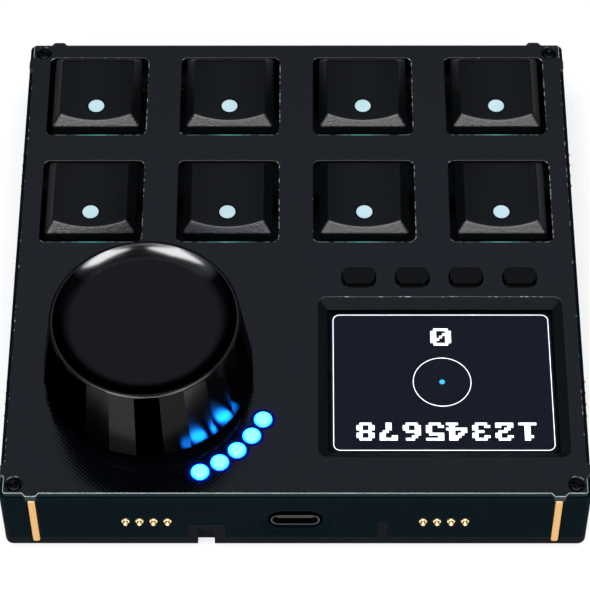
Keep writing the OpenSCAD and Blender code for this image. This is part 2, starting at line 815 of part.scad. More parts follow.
module key_springs() {
    low = board_z + switch_floor;
    color("#b8bcc2")
        for (i = [1:8])
            translate(concat(key_place(i) + [0, spring_y], low)) difference() {
                cylinder(h = spring_top - seat - low, d = spring_d);
                translate([0, 0, -over])
                    cylinder(h = spring_top - low + 2 * over, d = spring_d - 2 * spring_wire);
            }
}

// Sliding stem with its light column, one clear moulding
module key_stem(i) {
    color("#d4e9ec") translate(key_place(i)) difference() {
        union() {
            translate([-stem_w / 2, -stem_back, stem_low])
                cube([stem_w, stem_d, cap_ceiling - stem_low]);
            translate([-lens_d / 2, -lens_at, cap_ceiling - stem_plate])
                cube([lens_d, lens_at, stem_plate]);
            translate([0, -lens_at, stem_low]) cylinder(h = key_dish_z - stem_low, d = lens_d);
        }
        translate([0, spring_y, stem_low - over])
            cylinder(h = spring_top - stem_low + over, r = spring_room_r);
    }
}

module key_cap(i) {
    slab = over / 10;
    color("#17191d") translate(key_place(i)) difference() {
        union() {
            block(cap_w, cap_w, cap_r, deck_z - cap_low, deck_z + cap_skirt_h);
            hull() {
                block(cap_w, cap_w, cap_r, deck_z + cap_skirt_h - slab, deck_z + cap_skirt_h, $fn = 32);
                block(cap_top_w, cap_top_w, cap_top_r, key_top_z - slab, key_top_z, $fn = 32);
            }
        }
        translate([0, cap_w / 2, key_dish_z + key_dish_r]) rotate([90, 0, 0])
            cylinder(h = cap_w, r = key_dish_r, $fn = 256);
        block(cap_w - 2 * cap_wall, cap_w - 2 * cap_wall, cap_r / 2, deck_z - cap_low - over, cap_ceiling);
        translate([0, -lens_at, cap_ceiling - over])
            cylinder(h = cap_top_h + over, d = lens_d + seat);
    }
}

module menu_button(i) {
    color("#17191d") translate(button_place(i)) {
        block(button_w, button_d, button_r, ledge_z - seat - flange_t, deck_z + button_h);
        block(button_w + 2 * flange_margin, button_d + 2 * flange_margin, button_r,
              ledge_z - seat - flange_t, ledge_z - seat);
        translate([0, 0, tact_top - button_travel])
            cylinder(h = ledge_z - tact_top, d = plunger_d);
    }
}

module menu_switches() {
    color("#2a2b30")
        for (i = [1:4])
            translate(concat(button_place(i), board_z)) difference() {
                translate([-tact_w / 2, -tact_w / 2, 0]) cube([tact_w, tact_w, tact_h]);
                translate([0, 0, tact_h - socket_depth])
                    cylinder(h = socket_depth + over, d = plunger_d + 2 * slide);
            }
}

// Round bar with a flat along one side, from level low to level high
module flatted_bar(d, flat, low, high) {
    translate([0, 0, low]) difference() {
        cylinder(h = high - low, d = d);
        translate([-d, d / 2 - flat, -over]) cube([2 * d, d, high - low + 2 * over]);
    }
}

module encoder_body() {
    color("#8a8f95") translate([knob_x, knob_y, 0]) difference() {
        union() {
            translate([-encoder_w / 2, -encoder_w / 2, board_z]) cube([encoder_w, encoder_w, encoder_h]);
            translate([0, 0, encoder_top - over])
                cylinder(h = bushing_top - encoder_top + over, d = bushing_d);
        }
        translate([0, 0, encoder_top - shaft_flat])
            cylinder(h = bushing_top, d = shaft_d + 2 * run);
    }
}

module encoder_nut() {
    color("#9a9ea3") translate([knob_x, knob_y, deck_z + seat]) difference() {
        union() {
            cylinder(h = nut_t / 4, d = nut_w * 1.2);
            cylinder(h = nut_t, d = nut_w / cos(30), $fn = 6);
        }
        translate([0, 0, -over]) cylinder(h = nut_t + 2 * over, d = bushing_d + seat);
    }
}

module encoder_shaft() {
    color("#9a9ea3") translate([knob_x, knob_y, 0]) {
        translate([0, 0, encoder_top - shaft_flat + run])
            cylinder(h = bushing_top - encoder_top + shaft_flat, d = shaft_d);
        flatted_bar(shaft_d, shaft_flat, bushing_top, shaft_top);
    }
}

// Outer section of the knob: leaning wall, round shoulder, narrow rim, hollow top
module knob_section() {
    shoulder_z = knob_top - knob_edge_r;
    difference() {
        polygon(concat([[0, knob_foot], [knob_low_d / 2 - knob_edge_r, knob_foot]],
                       arc(knob_low_d / 2 - knob_edge_r, knob_foot + knob_edge_r, knob_edge_r, -90, 0, 6),
                       arc(knob_top_d / 2 - knob_edge_r, shoulder_z, knob_edge_r, 0, 90, 8),
                       [[0, knob_top]]));
        translate([0, knob_top - knob_dish]) square([knob_flat_d / 2, knob_dish + over]);
        translate([knob_flat_d / 2, knob_top - knob_dish + dish_r]) circle(dish_r, $fn = 256);
    }
}

module jog_knob() {
    room_low = knob_low_d / 2 - knob_wall;
    color("#0d0e10") translate([knob_x, knob_y, 0]) difference() {
        rotate_extrude($fn = 128) difference() {
            knob_section();
            polygon([[hub_d / 2, knob_foot - over], [room_low, knob_foot - over],
                     [room_low - knob_lean, knob_ceiling], [hub_d / 2, knob_ceiling]]);
            translate([0, knob_foot - over]) square([hub_d / 2 + over, hub_low - knob_foot + over]);
        }
        flatted_bar(shaft_d + seat, shaft_flat, hub_low - over, shaft_top + seat);
    }
}

// Five domed light pipes joined by a curved strip under the panel
module light_pipes() {
    dome_r = (pow(light_d / 2, 2) + pow(light_dome, 2)) / (2 * light_dome);
    low = board_z + chip_h + 2 * seat;
    web_top = ledge_z - seat;
    spread = 2 * light_step + light_step / 4;
    color("#7fe6f2") {
        light_places() intersection() {
            translate([0, 0, low]) cylinder(h = deck_z + light_dome - low, d = light_d);
            union() {
                translate([0, 0, deck_z + light_dome - dome_r]) sphere(dome_r, $fn = 96);
                translate([0, 0, low]) cylinder(h = deck_z - low, d = light_d + over);
            }
        }
        translate([knob_x, knob_y, web_top - light_web_t]) rotate([0, 0, -45 - spread])
            rotate_extrude(angle = 2 * spread)
                translate([light_r - light_web_w / 2, 0]) square([light_web_w, light_web_t]);
    }
}

module display_glass() {
    color("#0e1016") translate([screen_x, screen_y, 0])
        block(screen_hole_w + 2 * glass_margin, screen_hole_d + 2 * glass_margin,
              screen_hole_r / 2, glass_low, glass_top);
}

module display_module() {
    color("#2b2d36") translate([screen_x, screen_y, 0])
        block(screen_hole_w, screen_hole_d, screen_hole_r / 2, module_low, module_top);
}

module display_ribbon() {
    color("#b5752f") translate([screen_x - ribbon_w / 2, ribbon_y, 0]) {
        translate([0, 0, ribbon_low + ribbon_bend]) rotate([90, 0, 90])
            rotate([0, 0, -90]) rotate_extrude(angle = 180)
                translate([ribbon_bend - ribbon_t, 0]) square([ribbon_t, ribbon_w]);
        translate([0, -ribbon_run / 2, ribbon_low]) cube([ribbon_w, ribbon_run / 2, ribbon_t]);
        translate([0, -ribbon_run, module_low - ribbon_t]) cube([ribbon_w, ribbon_run, ribbon_t]);
    }
}

module usb_shell() {
    color("#c9ccd1") difference() {
        front_slot(usb_w, usb_h, usb_z, usb_inset, usb_inset + usb_len);
        front_slot(usb_w - 2 * usb_sheet, usb_h - 2 * usb_sheet, usb_z,
                   usb_inset - over, usb_inset + usb_len - usb_h / 2);
    }
}

module usb_tongue() {
    tongue_w = usb_w * 0.74;
    tongue_t = usb_h * 0.215;
    back = -half + usb_inset + usb_len - usb_h / 2 - seat;
    length = usb_len * 0.68;
    color("#22242a") {
        translate([-tongue_w / 2, back - length, usb_z - tongue_t / 2])
            cube([tongue_w, length, tongue_t]);
        translate([-tongue_w / 2, back - usb_h / 2, usb_z - usb_h / 2 + usb_sheet + seat])
            cube([tongue_w, usb_h / 2, usb_h - 2 * usb_sheet - 2 * seat]);
    }
}

// Moulded blocks that hold the barrels behind each wall
module contact_blocks() {
    color("#1d1f24")
        each_side()
            difference() {
                for (s = [-1, 1])
                    translate([s * pin_group_at - block_w / 2, -inner + seat, board_z])
                        cube([block_w, block_d, block_h]);
                pin_places() translate([0, 0, -barrel_len - over])
                    cylinder(h = barrel_len + 2 * over, d = barrel_d + run);
            }
}

module pin_barrels() {
    color("#d9a843")
        each_side() pin_places() translate([0, 0, barrel_proud - barrel_len]) difference() {
            rotate_extrude() {
                square([barrel_d / 2, barrel_len - barrel_d / 8]);
                square([barrel_d / 2 - barrel_d / 8, barrel_len]);
                intersection() {
                    translate([barrel_d * 3 / 8, barrel_len - barrel_d / 8]) circle(barrel_d / 8);
                    square([barrel_d, barrel_len]);
                }
            }
            translate([0, 0, barrel_len - (pin_len - pin_proud) - pin_travel - seat])
                cylinder(h = barrel_len, d = pin_d + 2 * run);
        }
}

// Eight sprung pins of one side
module pins(turn) {
    color("#f0c866")
        rotate([0, 0, turn]) pin_places()
            translate([0, 0, barrel_proud + pin_proud - pin_len]) {
                cylinder(h = pin_len - pin_d / 2, d = pin_d);
                intersection() {
                    translate([0, 0, pin_len - pin_d / 2]) sphere(pin_d / 2);
                    translate([-pin_d, -pin_d, 0]) cube([2 * pin_d, 2 * pin_d, pin_len]);
                }
            }
}

module magnet_rod(i) {
    color("#dcb45a")
        rotate([0, 0, rod_turn(i)])
            translate([rod_sign(i) * rod_at, -half + rod_depth, rod_low])
                cylinder(h = rod_top - rod_low, d = rod_d);
}

case_shell();
base_tray();
rubber_feet();
top_panel();
corner_screws();
main_board();
board_screws();
board_chips();
light_chips();
switch_housings();
key_springs();
menu_switches();
encoder_body();
encoder_nut();
encoder_shaft();
jog_knob();
light_pipes();
display_module();
display_glass();
display_ribbon();
usb_shell();
usb_tongue();
contact_blocks();
pin_barrels();
pins(0);  // pins_front
pins(90);  // pins_right
pins(180);  // pins_back
pins(270);  // pins_left
for (i = [1:8]) key_cap(i);
for (i = [1:8]) key_stem(i);
for (i = [1:4]) menu_button(i);
for (i = [1:8]) magnet_rod(i);
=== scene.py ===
import math

import bmesh
import bpy
from mathutils import Matrix, Vector


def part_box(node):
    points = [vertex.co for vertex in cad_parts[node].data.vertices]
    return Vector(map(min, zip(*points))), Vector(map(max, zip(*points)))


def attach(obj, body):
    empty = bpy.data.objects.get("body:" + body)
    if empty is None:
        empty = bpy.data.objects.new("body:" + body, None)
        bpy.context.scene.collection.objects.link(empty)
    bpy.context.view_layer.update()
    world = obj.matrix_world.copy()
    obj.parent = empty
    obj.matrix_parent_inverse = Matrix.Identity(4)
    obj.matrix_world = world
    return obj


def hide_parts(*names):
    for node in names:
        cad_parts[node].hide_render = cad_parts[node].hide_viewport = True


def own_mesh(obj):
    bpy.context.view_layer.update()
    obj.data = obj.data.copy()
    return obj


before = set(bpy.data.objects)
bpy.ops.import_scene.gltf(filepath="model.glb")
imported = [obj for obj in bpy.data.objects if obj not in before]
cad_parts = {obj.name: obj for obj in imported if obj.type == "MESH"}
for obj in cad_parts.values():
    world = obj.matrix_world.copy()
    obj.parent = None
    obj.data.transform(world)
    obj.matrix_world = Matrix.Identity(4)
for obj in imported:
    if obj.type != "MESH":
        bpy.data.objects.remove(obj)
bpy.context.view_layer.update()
scene = bpy.context.scene
scene.view_settings.view_transform = "Standard"
mm = 0.001

# Camera: a long lens from the front, looking steeply down

cameraSet = {
    "place": (0.00223, -0.31830, 0.45325),
    "lens": 172.78, "sensor": 36, "nearest": 0.01,
    "lookDown": 54.5935, "lookLeft": -0.4361, "tilt": -0.3623,      # degrees
}


def makeCamera(s):
    down, side, tilt = (math.radians(s[k]) for k in ("lookDown", "lookLeft", "tilt"))
    ahead = Vector((math.sin(side) * math.cos(down), math.cos(side) * math.cos(down), -math.sin(down)))
    right = Vector((math.cos(side), -math.sin(side), 0))
    above = right.cross(ahead)
    turned = Matrix((math.cos(tilt) * right + math.sin(tilt) * above,
                     math.cos(tilt) * above - math.sin(tilt) * right, -ahead)).transposed()
    camera = bpy.data.objects.new("camera", bpy.data.cameras.new("camera"))
    camera.matrix_world = Matrix.Translation(s["place"]) @ turned.to_4x4()
    camera.data.lens = s["lens"]
    camera.data.sensor_width = s["sensor"]
    camera.data.clip_start = s["nearest"]
    scene.collection.objects.link(camera)
    scene.camera = camera


makeCamera(cameraSet)
print("camera set")

# Helpers for places, nodes and materials


def middleOf(node):
    low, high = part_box(node)
    return (low + high) / 2


def bendOf(half, depth):
    # radius of an arc, from half its chord and its depth
    return (half ** 2 + depth ** 2) / (2 * depth)


def toLinear(code):
    # sRGB hex to the linear colour that a shader takes
    parts = [int(code[k:k + 2], 16) / 255 for k in (1, 3, 5)]
    return [c / 12.92 if c <= 0.04045 else ((c + 0.055) / 1.055) ** 2.4 for c in parts] + [1]


def feed(tree, node, name, source):
    # the source is a socket, or a node for its first one
    socket = source.outputs[0] if isinstance(source, bpy.types.Node) else source
    tree.links.new(socket, node.inputs[name])


def addNode(tree, kind, settings=None):
    # the kind leaves out ShaderNode or GeometryNode; a setting is a socket's name or number, or else a
    # property of the node; a socket takes a value, an sRGB hex colour, another socket or a node
    family = "Shader" if tree.type == "SHADER" else "Geometry"
    node = tree.nodes.new(kind if "Node" in kind else f"{family}Node{kind}")
    for name, value in (settings or {}).items():
        if not isinstance(name, int) and name not in node.inputs:
            setattr(node, name, value)
        elif isinstance(value, (bpy.types.Node, bpy.types.NodeSocket)):
            feed(tree, node, name, value)
        else:
            node.inputs[name].default_value = toLinear(value) if isinstance(value, str) else value
    return node


def addChain(tree, kind, source, *steps):
    # a run of nodes, each fed by the one before; a step is an operation and its further inputs
    for operation, *values in steps:
        source = addNode(tree, kind, {"operation": operation, 0: source, **dict(enumerate(values, 1))})
    return source


def newMaterial(name, colour, settings=None):
    # gives back the material, its tree, its shader and its object coordinates
    material = bpy.data.materials.new(name)
    material.use_nodes = True
    tree = material.node_tree
    tree.nodes.clear()
    shader = addNode(tree, "BsdfPrincipled", {"Base Color": colour, **(settings or {})})
    addNode(tree, "OutputMaterial", {"Surface": shader})
    coords = addNode(tree, "TexCoord").outputs["Object"]
    return material, tree, shader, coords


def addGrain(tree, shader, coords, size, depth, strength):
    # bump from noise whose lumps are about size across
    noise = addNode(tree, "TexNoise", {
        "Scale": 1 / size, "Detail": 3.0, "Roughness": 0.6, "Vector": coords})
    feed(tree, shader, "Normal", addNode(tree, "Bump", {
        "Strength": strength, "Distance": depth, "Height": noise}))
    return noise


def varyRoughness(tree, shader, coords, size, low, high):
    noise = addNode(tree, "TexNoise", {"Scale": 1 / size, "Vector": coords})
    feed(tree, shader, "Roughness", addNode(tree, "MapRange", {
        "Value": noise, "To Min": low, "To Max": high}))


# Materials


def mouldedBlack(name, colour, rough, grain, gloss, depth=0.02):
    # ABS from a spark-eroded mould: soft broad highlights that its fine grain breaks up
    material, tree, shader, coords = newMaterial(name, colour, {
        "Roughness": rough, "IOR": 1.53, "Specular IOR Level": gloss})
    addGrain(tree, shader, coords, grain * mm, depth * mm, 0.6)
    varyRoughness(tree, shader, coords, 16 * mm, rough - 0.05, rough + 0.06)
    return material


laminateSet = {
    "pitch": 0.58 * mm,        # from dot to dot of the glass weave, drawn at the size that shows
    "dip": 0.011 * mm, "clouds": 7 * mm,       # depth of the weave, size of the areas where it shows less
    "paintedShadeRing": 2.15 * mm, "paintedShadeRingEdge": 0.25 * mm,        # painted shade: radius of a ring round each light pipe that reflects nothing, in place of a chamfer on its hole, and the width over which reflection returns
    # painted glow: the panel itself gives off blue light round each light pipe, fading out by glowEnd
    "glowEnd": 3.3 * mm, "glow": 0.16, "glowColour": "#0034ff",
}
lightSet = {
    "count": 5, "step": 10, "first": -65,      # degrees round the knob's axis
    "pipe": 1.75 * mm, "dome": 0.7 * mm, "webWidth": 2.4 * mm, "webThick": 0.8 * mm, "webEnd": 2.5,
    "webUnder": 2.35 * mm,     # from the dome's foot down to the strip's middle
    "steps": 36, "domeRows": 7, "webPoints": 40,
    # the light rises from the dome's foot to its top, in height and in strength
    "dimFrom": 0.66 * mm, "brightFrom": 0.3 * mm, "least": 1.0, "most": 62.0,
}


def lightArc(s):
    # the knob's axis, the first light's turn, the turn from light to light and the arc's radius
    axis = middleOf("jog_knob")
    first, step = math.radians(s["first"]), math.radians(s["step"])
    return axis, first, step, (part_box("light_pipes")[1].x - s["pipe"] - axis.x) / math.cos(
        first + step * (s["count"] - 1))


def fromLights(tree, coords, s):
    # distance from the axis of the nearest light pipe
    axis, first, step, reach = lightArc(s)
    moved = addNode(tree, "VectorMath", {
        "operation": "SUBTRACT", 1: (axis.x, axis.y, 0), 0: coords})
    xyz = addNode(tree, "SeparateXYZ", {"Vector": moved}).outputs
    place = addChain(
        tree, "Math", xyz["Y"], ("ARCTAN2", xyz["X"]), ("SUBTRACT", first), ("DIVIDE", step), ("ROUND",),
        ("MAXIMUM", 0), ("MINIMUM", s["count"] - 1), ("MULTIPLY_ADD", step, first))
    squares = [addChain(tree, "Math", place, (way,), ("MULTIPLY_ADD", -reach, xyz[name]), ("POWER", 2))
               for way, name in (("COSINE", "X"), ("SINE", "Y"))]
    return addChain(tree, "Math", squares[0], ("ADD", squares[1]), ("SQRT",))


def lacqueredLaminate(s, lights):
    # black solder lacquer on woven glass laminate: half gloss, the weave printing through as fine dots; round
    # each light pipe a painted shade ring without reflection and a painted blue glow
    material, tree, shader, coords = newMaterial("black lacquered glass laminate", "#04060a", {
        "Roughness": 0.1, "IOR": 1.5, "Emission Color": s["glowColour"]})
    turned = addNode(tree, "Mapping", {"Rotation": (0, 0, math.radians(45)), "Vector": coords})
    waveScale = math.tau / 20 / s["pitch"]
    threads = [addNode(tree, "TexWave", {
        "wave_type": "BANDS", "bands_direction": way, "Scale": waveScale, "Distortion": 0.8, "Detail": 1.0,
        "Detail Scale": 0.3, "Vector": turned}).outputs["Fac"] for way in ("X", "Y")]
    clouds = addNode(tree, "TexNoise", {"Scale": 1 / s["clouds"], "Vector": coords})
    cross = addNode(tree, "Math", {"operation": "MULTIPLY", 0: threads[0], 1: threads[1]})
    shown = addNode(tree, "Math", {"operation": "MULTIPLY", 0: cross, 1: clouds})
    feed(tree, shader, "Base Color", addNode(tree, "MixRGB", {
        "Fac": shown, "Color1": "#010203", "Color2": "#0b0e13"}))
    feed(tree, shader, "Normal", addNode(tree, "Bump", {
        "Strength": 1.0, "Distance": s["dip"], "Height": cross}))
    distance = fromLights(tree, coords, lights)
    # painted shade: no reflection in a ring round each pipe
    feed(tree, shader, "Specular IOR Level", addNode(tree, "MapRange", {
        "Value": distance, "From Min": s["paintedShadeRing"], "From Max": s["paintedShadeRing"] + s["paintedShadeRingEdge"],
        "To Max": 0.5}))
    # painted glow: the lacquer itself gives off blue light near each pipe
    near = addNode(tree, "MapRange", {
        "Value": distance, "From Min": lights["pipe"], "From Max": s["glowEnd"], "To Min": 1, "To Max": 0})
    feed(tree, shader, "Emission Strength", addChain(
        tree, "Math", near, ("POWER", 3), ("MULTIPLY", s["glow"])))
    return material


def bareEdgeAndPaintedLight():
    # edge of the glass laminate that the cutter left bare: pale, milky and fibrous, lacquered in places; how
    # pale it is side by side is partly a painted highlight, and the glow where the lights under the keys
    # shine through it is painted on as emission
    material, tree, shader, coords = newMaterial("bare laminate edge, painted highlight and glow", "#8f9690", {
        "Roughness": 0.5, "IOR": 1.55, "Emission Color": "#3aa6a8"})
    fibres = addNode(tree, "TexNoise", {"Scale": 1 / (0.45 * mm), "Vector": coords})
    pale = addNode(tree, "MixRGB", {"Fac": fibres, "Color1": "#474e4b", "Color2": "#b0b9b4"})
    chips = addNode(tree, "TexNoise", {"Scale": 1 / (0.9 * mm), "Detail": 1.5, "Vector": coords})
    bareAndHighlight, glow = (addNode(tree, "Attribute", {"attribute_name": name}).outputs["Fac"]
                  for name in ("bareAndHighlight", "glow"))
    over = addNode(tree, "Math", {"operation": "SUBTRACT", 0: bareAndHighlight, 1: chips})
    shown = addNode(tree, "MapRange", {"Value": over, "From Min": -0.02, "From Max": 0.06})
    feed(tree, shader, "Base Color", addNode(tree, "MixRGB", {
        "Fac": shown, "Color1": "#040506", "Color2": pale}))
    feed(tree, shader, "Emission Strength", addNode(tree, "Math", {
        "operation": "MULTIPLY", 0: glow, 1: chips}))
    return material


def inkedSlope():
    # slope milled through the laminate round the display and inked: matt, faintly green, fibrous
    material, tree, shader, coords = newMaterial("inked laminate slope", "#0f1417", {
        "Roughness": 0.4, "IOR": 1.5, "Specular IOR Level": 0.04})
    fibres = addGrain(tree, shader, coords, 0.4 * mm, 0.04 * mm, 0.8)
    feed(tree, shader, "Base Color", addNode(tree, "MixRGB", {
        "Fac": fibres, "Color1": "#090d0f", "Color2": "#14191c"}))
    return material


def metal(name, colour, rough, scratch=0.03):
    # plated or turned metal: bright, its gloss broken by faint turning marks
    material, tree, shader, coords = newMaterial(name, colour, {"Metallic": 1.0, "Roughness": rough})
    varyRoughness(tree, shader, coords, 1.1 * mm, max(0.02, rough - scratch), rough + scratch)
    return material


def polishedBlack():
    # black chrome side of the knob: a dark mirror that goes black at its edges, with upright polishing marks
    # that draw reflections out in height; how bright it reflects is painted face by face, some flats, the
    # crest and the back of the hollow brighter than others, a painted reflection
    material, tree, shader, coords = newMaterial("polished black chrome", "#010102", {
        "Metallic": 1.0, "Specular Tint": (0, 0, 0, 1), "Roughness": 0.14, "Anisotropic": 0.85,
        "Anisotropic Rotation": 0.25})
    around = addNode(tree, "Tangent", {"direction_type": "RADIAL", "axis": "Z"})
    feed(tree, shader, "Tangent", around)
    paintedReflection = addNode(tree, "Attribute", {"attribute_name": "paintedReflection"})
    feed(tree, shader, "Base Color", paintedReflection.outputs["Fac"])
    return material


def satinBlack():
    # soft-touch lacquer in the knob's hollow: satin, darker than the panel
    material, tree, shader, coords = newMaterial("satin black lacquer", "#030202", {
        "Roughness": 0.11, "IOR": 1.38})
    addGrain(tree, shader, coords, 0.19 * mm, 0.01 * mm, 0.25)
    return material


def litPlastic(name, colour, glow, otherGlow, strength, rough=0.25):
    # clear plastic or a screen with its own light behind it, not quite even
    material, tree, shader, coords = newMaterial(name, colour, {
        "Emission Strength": strength, "Roughness": rough, "Specular IOR Level": 0.05})
    clouds = addNode(tree, "TexNoise", {"Scale": 1 / (2.2 * mm), "Detail": 1.0, "Vector": coords})
    feed(tree, shader, "Emission Color", addNode(tree, "MixRGB", {
        "Fac": clouds, "Color1": glow, "Color2": otherGlow}))
    return material, tree, shader, coords


stemSet = {
    "windowAt": 4.4 * mm,      # from the cap's front edge to its window
    "inner": 1.45 * mm, "outer": 1.6 * mm,     # radii of the painted shade ring's rise
    # painted shade for the gap between the stem and the cap's window
    "dark": "#05080a",
}


def fromNearest(tree, coords, first, pitch, s):
    # 1 inside a circle round the nearest place of a square grid, falling to 0 outside it
    high = (pitch[0] / 2, pitch[1] / 2, 1)
    off = addChain(tree, "VectorMath", coords, ("SUBTRACT", first), ("WRAP", high, [-v for v in high]),
                   ("MULTIPLY", (1, 1, 0)), ("LENGTH",))
    return addNode(tree, "MapRange", {
        "Value": off.outputs["Value"], "From Min": s["inner"], "From Max": s["outer"],
        "To Min": 1, "To Max": 0})


def stemEnd(s, name, colour, glow, otherGlow, strength):
    # milky column lit from below; outside a circle under the cap's window it is painted dark, a painted shade
    # for the gap round it
    material, tree, shader, coords = litPlastic(name, colour, glow, otherGlow, strength)
    centres = [middleOf(f"key_stem_{k}") for k in (1, 2, 5)]
    pitch = (abs(centres[1].x - centres[0].x), abs(centres[2].y - centres[0].y))
    window = (centres[0].x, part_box("key_cap_1")[0].y + s["windowAt"], 0)
    inside = fromNearest(tree, coords, window, pitch, s)
    feed(tree, shader, "Base Color", addNode(tree, "MixRGB", {
        "Fac": inside, "Color1": s["dark"], "Color2": colour}))
    feed(tree, shader, "Emission Strength", addNode(tree, "Math", {
        "operation": "MULTIPLY", 0: inside, 1: strength}))
    return material


def litPipe(s):
    # clear acrylic pipe end over a blue chip: deep blue light, nearly white on the dome, faint at its foot
    material, tree, shader, coords = newMaterial("lit clear acrylic", "#0b2a36", {
        "Roughness": 0.1, "IOR": 1.49, "Specular IOR Level": 0.3})
    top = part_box("light_pipes")[1].z
    height = addNode(tree, "SeparateXYZ", {"Vector": coords}).outputs["Z"]
    rise = addNode(tree, "MapRange", {
        "Value": height, "From Min": top - s["dimFrom"], "From Max": top - s["brightFrom"]})
    feed(tree, shader, "Emission Color", addNode(tree, "MixRGB", {
        "Fac": rise, "Color1": "#0046ff", "Color2": "#1186ff"}))
    feed(tree, shader, "Emission Strength", addNode(tree, "MapRange", {
        "Value": rise, "To Min": s["least"], "To Max": s["most"]}))
    return material


def coatedGlass():
    # thin cover glass with a coating: clear, its reflection sharp but weak
    return newMaterial("coated cover glass", "#ffffff", {
        "Transmission Weight": 1.0, "Roughness": 0.0, "IOR": 1.11})[0]


def innerPart(name, colour, rough=0.5, grain=0.33, gloss=0.5):
    # parts inside the case: an even finish with a little grain
    material, tree, shader, coords = newMaterial(name, colour, {
        "Roughness": rough, "Specular IOR Level": gloss})
    addGrain(tree, shader, coords, grain * mm, 0.01 * mm, 0.3)
    return material


caseBlack = mouldedBlack("moulded black case", "#061217", 0.5, 0.16, 0.005)
# painted highlight: a paler colour on every bevelled edge of the case and tray
caseEdgeHighlight = mouldedBlack("case edge, painted highlight", "#40585d", 0.45, 0.3, 0.1)
trayBlack = mouldedBlack("moulded black tray", "#101216", 0.5, 0.16, 0.012)
# painted light: one grained plastic as two copies, a glossy lit one for the front slope and a dull shaded one
# for the other slopes and skirt
capFrontLitCopy = mouldedBlack("cap front slope, lit copy", "#050607", 0.27, 0.36, 0.78, 0.2)
capFlankShadedCopy = mouldedBlack("cap flanks, shaded copy", "#070a0c", 0.4, 0.3, 0.12, 0.03)
capTopBlack = mouldedBlack("worn smooth black cap top", "#0c0e10", 0.3, 0.14, 0.22, 0.01)
buttonBlack = mouldedBlack("smooth black button", "#020303", 0.24, 0.2, 0.2, 0.01)
laminate = lacqueredLaminate(laminateSet, lightSet)
laminateEdgePaintedLight = bareEdgeAndPaintedLight()
panelSide = mouldedBlack("lacquer run over the panel side", "#233238", 0.45, 0.3, 0.1)
slopeBlack = inkedSlope()
knobSide = polishedBlack()
knobTop = satinBlack()
goldPlate = metal("gold plate", "#ffe6b0", 0.35)
goldRod = metal("pale gold plated magnet", "#dcad6d", 0.25)
nickelPlate = metal("nickel plate", "#b9bcc0", 0.25)
blackSteel = metal("blackened steel", "#232427", 0.25)
portSteel = metal("dark plated port shell", "#3c3f43", 0.2)
wireSteel = metal("spring wire", "#a9adb3", 0.3)
innerBlack = innerPart("black nylon", "#16171a")
boardBlack = innerPart("black board lacquer", "#060807", 0.35)
chipEpoxy = innerPart("chip epoxy", "#1d1e21", 0.55)
chipWhite = innerPart("white ceramic", "#e4e2d8")
rubberBlack = innerPart("soft black rubber", "#141414", 0.8)
filmBrown = innerPart("polyimide film", "#8a5220", 0.35)
pipeLit = litPipe(lightSet)
stemClear = stemEnd(stemSet, "milky clear stem", "#8ea2aa", "#a6e0e0", "#e4f7fa", 0.45)
screenDark = litPlastic("dark screen", "#020203", "#111520", "#131722", 1.0, 0.4)[0]
screenBorder = innerPart("black screen border", "#010202", 0.6, 0.33, 0.02)
screenWhite = litPlastic("lit screen white", "#e8ecf2", "#f2f6fc", "#eef2f8", 0.95)[0]
screenBlue = litPlastic("lit screen blue", "#2f7fb0", "#3db4e1", "#48bde6", 0.8)[0]
glassClear = coatedGlass()
print("materials made")

# Floor and light

floorSet = {"reach": 3.0, "colour": "#b8b8ba", "glow": 0.6}


def makeFloor(s):
    # white paper floor, lifted to white where the eye or a reflection meets it
    material, tree, shader, coords = newMaterial("white paper floor", s["colour"], {"Roughness": 0.9})
    path = addNode(tree, "LightPath").outputs
    seen = addChain(tree, "Math", path["Is Camera Ray"], ("MAXIMUM", path["Is Glossy Ray"]),
                    ("MAXIMUM", path["Is Transmission Ray"]))
    glow = addNode(tree, "Emission", {"Strength": s["glow"]})
    lifted = addNode(tree, "AddShader", {0: shader, 1: glow})
    pick = addNode(tree, "MixShader", {"Fac": seen, 1: shader, 2: lifted})
    feed(tree, next(n for n in tree.nodes if n.type == "OUTPUT_MATERIAL"), "Surface", pick)
    mesh = bpy.data.meshes.new("floor")
    corners = [(x * s["reach"], y * s["reach"], 0) for x, y in ((-1, -1), (1, -1), (1, 1), (-1, 1))]
    mesh.from_pydata(corners, [], [(0, 1, 2, 3)])
    mesh.materials.append(material)
    floor = bpy.data.objects.new("floor", mesh)
    scene.collection.objects.link(floor)


lampSet = {
    # turn from the front and height in degrees, width and height in metres, power in watts
    "distance": 1.0,
    "lamps": {
        "softboxLeft": (-21, 38, 0.55, 0.85, 6.0), "softboxRight": (21, 38, 0.55, 0.85, 4.2),
        "overheadLeft": (-70, 71, 0.38, 0.38, 2.7), "overheadRight": (66, 71, 0.38, 0.38, 2.7),
    },
}
# a pale band in the sky, between these heights as sines, darker overhead and near the ground
skySet = {"band": "#a2a9bd", "rest": "#31343a", "from": 0.64, "to": 0.79, "fadeFrom": 0.87, "fadeTo": 0.94}


